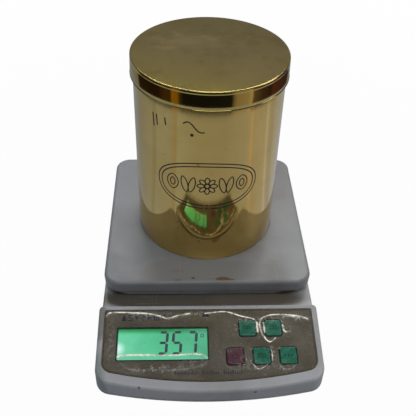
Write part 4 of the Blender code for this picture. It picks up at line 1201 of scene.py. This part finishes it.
def main():
    bpy.context.scene.view_settings.view_transform = "Standard"
    add_camera()
    add_lights()
    add_stage()
    front = TRAY_LOW.y
    tray_stains_and_painted_light = [
        # painted sheen: a lighter, cooler patch over the back left of the top
        ((-62 * MM, 102 * MM, TRAY_HIGH.z), (38, 52, 8), (0.41, 0.435, 0.48), 0.75, 0.15),
        # darker and warmer across the front middle of the top
        ((-10 * MM, front + 12 * MM, TRAY_HIGH.z), (46, 16, 5), (0.27, 0.255, 0.235), 0.45, 0.3),
        ((11.5 * MM, front + 3.9 * MM, TRAY_HIGH.z), (5.5, 2.0, 4), (0.20, 0.095, 0.03), 0.85, 0.9),
        ((17.5 * MM, front + 2.9 * MM, TRAY_HIGH.z), (4.0, 1.0, 4), (0.17, 0.09, 0.035), 0.75, 0.9),
        ((64 * MM, front + 6 * MM, TRAY_LOW.z + 1 * MM), (13, 7, 3), (0.085, 0.05, 0.028), 0.9, 0.6),
        ((79 * MM, front + 8 * MM, TRAY_HIGH.z - 2 * MM), (3, 3, 1.2), (0.16, 0.10, 0.06), 0.7, 1.0),
        ((-12 * MM, front + 4.8 * MM, TRAY_HIGH.z), (1.5, 1.2, 2), (0.13, 0.08, 0.04), 0.8, 1.0),
        ((-24 * MM, front + 2.8 * MM, TRAY_HIGH.z), (3.2, 1.3, 2), (0.20, 0.15, 0.10), 0.5, 1.0),
        ((-24 * MM, front + 13 * MM, TRAY_HIGH.z), (5.0, 2.0, 2), (0.25, 0.21, 0.16), 0.35, 1.0),
    ]
    shell_stains_and_painted_shade = [
        ((8 * MM, CONSOLE_BACK_Y, RIM_Z - 3 * MM), (60, 2.5, 3), (0.22, 0.19, 0.15), 0.5, 0.8),
        # painted shadow of the tray over the deck, with brown dirt in it
        ((-8 * MM, -44 * MM, DECK_Z), (84, 15, 4), (0.118, 0.104, 0.078), 0.98, 0.08),
        ((38 * MM, -45 * MM, DECK_Z), (36, 12, 3), (0.17, 0.135, 0.105), 0.6, 0.3),
        # painted shade at the left end
        ((-86 * MM, -62 * MM, 26 * MM), (9, 24, 9), (0.27, 0.26, 0.235), 0.85, 0.3),
        # painted shade over the left front, with a painted green cast
        ((-88 * MM, -95 * MM, 12 * MM), (14, 46, 14), (0.26, 0.31, 0.295), 0.75, 0.2),
        ((32 * MM, FRONT_Y + 1 * MM, 15 * MM), (1.4, 3, 1.0), (0.10, 0.08, 0.06), 0.8, 1.0),
        ((-52 * MM, FRONT_Y + 3 * MM, 18 * MM), (1.2, 4, 1.0), (0.12, 0.10, 0.08), 0.7, 1.0),
    ]
    shell_abs = abs_material("housing_abs", (0.60, 0.61, 0.635), (0.50, 0.495, 0.49), shell_stains_and_painted_shade)
    # The tray is the housing's white ABS painted darker: painted shade.
    tray_abs_painted_shade = abs_material("tray_abs_painted_shade", (0.335, 0.345, 0.365), (0.265, 0.262, 0.26), tray_stains_and_painted_light)
    rubber = rubber_material()
    body_brass, lid_brass = brass_material("body_brass"), brass_material("lid_brass", lid=True)
    black = plain_material("black_plastic", (0.015, 0.015, 0.016), (0.03, 0.03, 0.03), 0.45)
    shared = {
        "white_abs": shell_abs, "foot_rubber": rubber, "polished_brass": body_brass, "black_plastic": black,
        "printed_overlay": black, "clear_lens": black, "lcd_cell": black,
        "lcd_backlight": plain_material("diffuser", (0.1, 0.5, 0.3), (0.12, 0.6, 0.35), 0.5),
        "green_key": black, "plum_key": black,
        "pcb_laminate": plain_material("laminate", (0.01, 0.07, 0.03), (0.02, 0.10, 0.04), 0.4),
        "load_cell_aluminium": plain_material("milled", (0.6, 0.6, 0.62), (0.7, 0.7, 0.71), 0.3, 300, 1.0),
        "zinc_steel": plain_material("zinc", (0.45, 0.45, 0.44), (0.6, 0.58, 0.52), 0.3, 500, 1.0),
        "battery_jacket": plain_material("jacket", (0.03, 0.04, 0.07), (0.05, 0.06, 0.1), 0.3),
        "lead_grey": plain_material("grey_sleeve", (0.12, 0.12, 0.12), (0.18, 0.18, 0.18), 0.5),
        "lead_red": plain_material("red_sleeve", (0.3, 0.01, 0.01), (0.4, 0.03, 0.02), 0.5),
    }
    dress_cad_nodes(shared)
    upper_shell(shell_abs)
    weighing_tray(tray_abs_painted_shade)
    panel_sheet(overlay_material())
    bezel(ink_material("window_black_and_key_shade", (0.008, 0.016, 0.026), (0.018, 0.027, 0.038)))
    panel_border(ink_material("painted_margin_shade", (0.085, 0.06, 0.035), (0.17, 0.145, 0.11)))
    screen, pane = screen_material(), lens_material()
    display(screen, pane, ink_material("segment_ink", (0.075, 0.10, 0.16), (0.10, 0.13, 0.18)))
    dents = 0.05 * MM
    green = plain_material("green_cap", (0.016, 0.205, 0.115), (0.040, 0.265, 0.175), 0.22, 150, bump=dents)
    plum = plain_material("plum_cap", (0.19, 0.045, 0.095), (0.085, 0.055, 0.050), 0.25, 300, bump=dents)
    for name, (x, y) in KEYS.items():
        is_power = name == "key_power"
        key_cap(name, x, y, plum if is_power else green)
    key_signs(ink_material("sign_ink", (0.012, 0.03, 0.03), (0.03, 0.05, 0.045)))
    panel_print(ink_material("navy_print", (0.022, 0.028, 0.07), (0.05, 0.055, 0.09)))
    film_sheet(film_material())
    engraving = ink_material("engraving_black", (0.012, 0.009, 0.006), (0.035, 0.025, 0.015))
    canister(body_brass, lid_brass, engraving)


main()
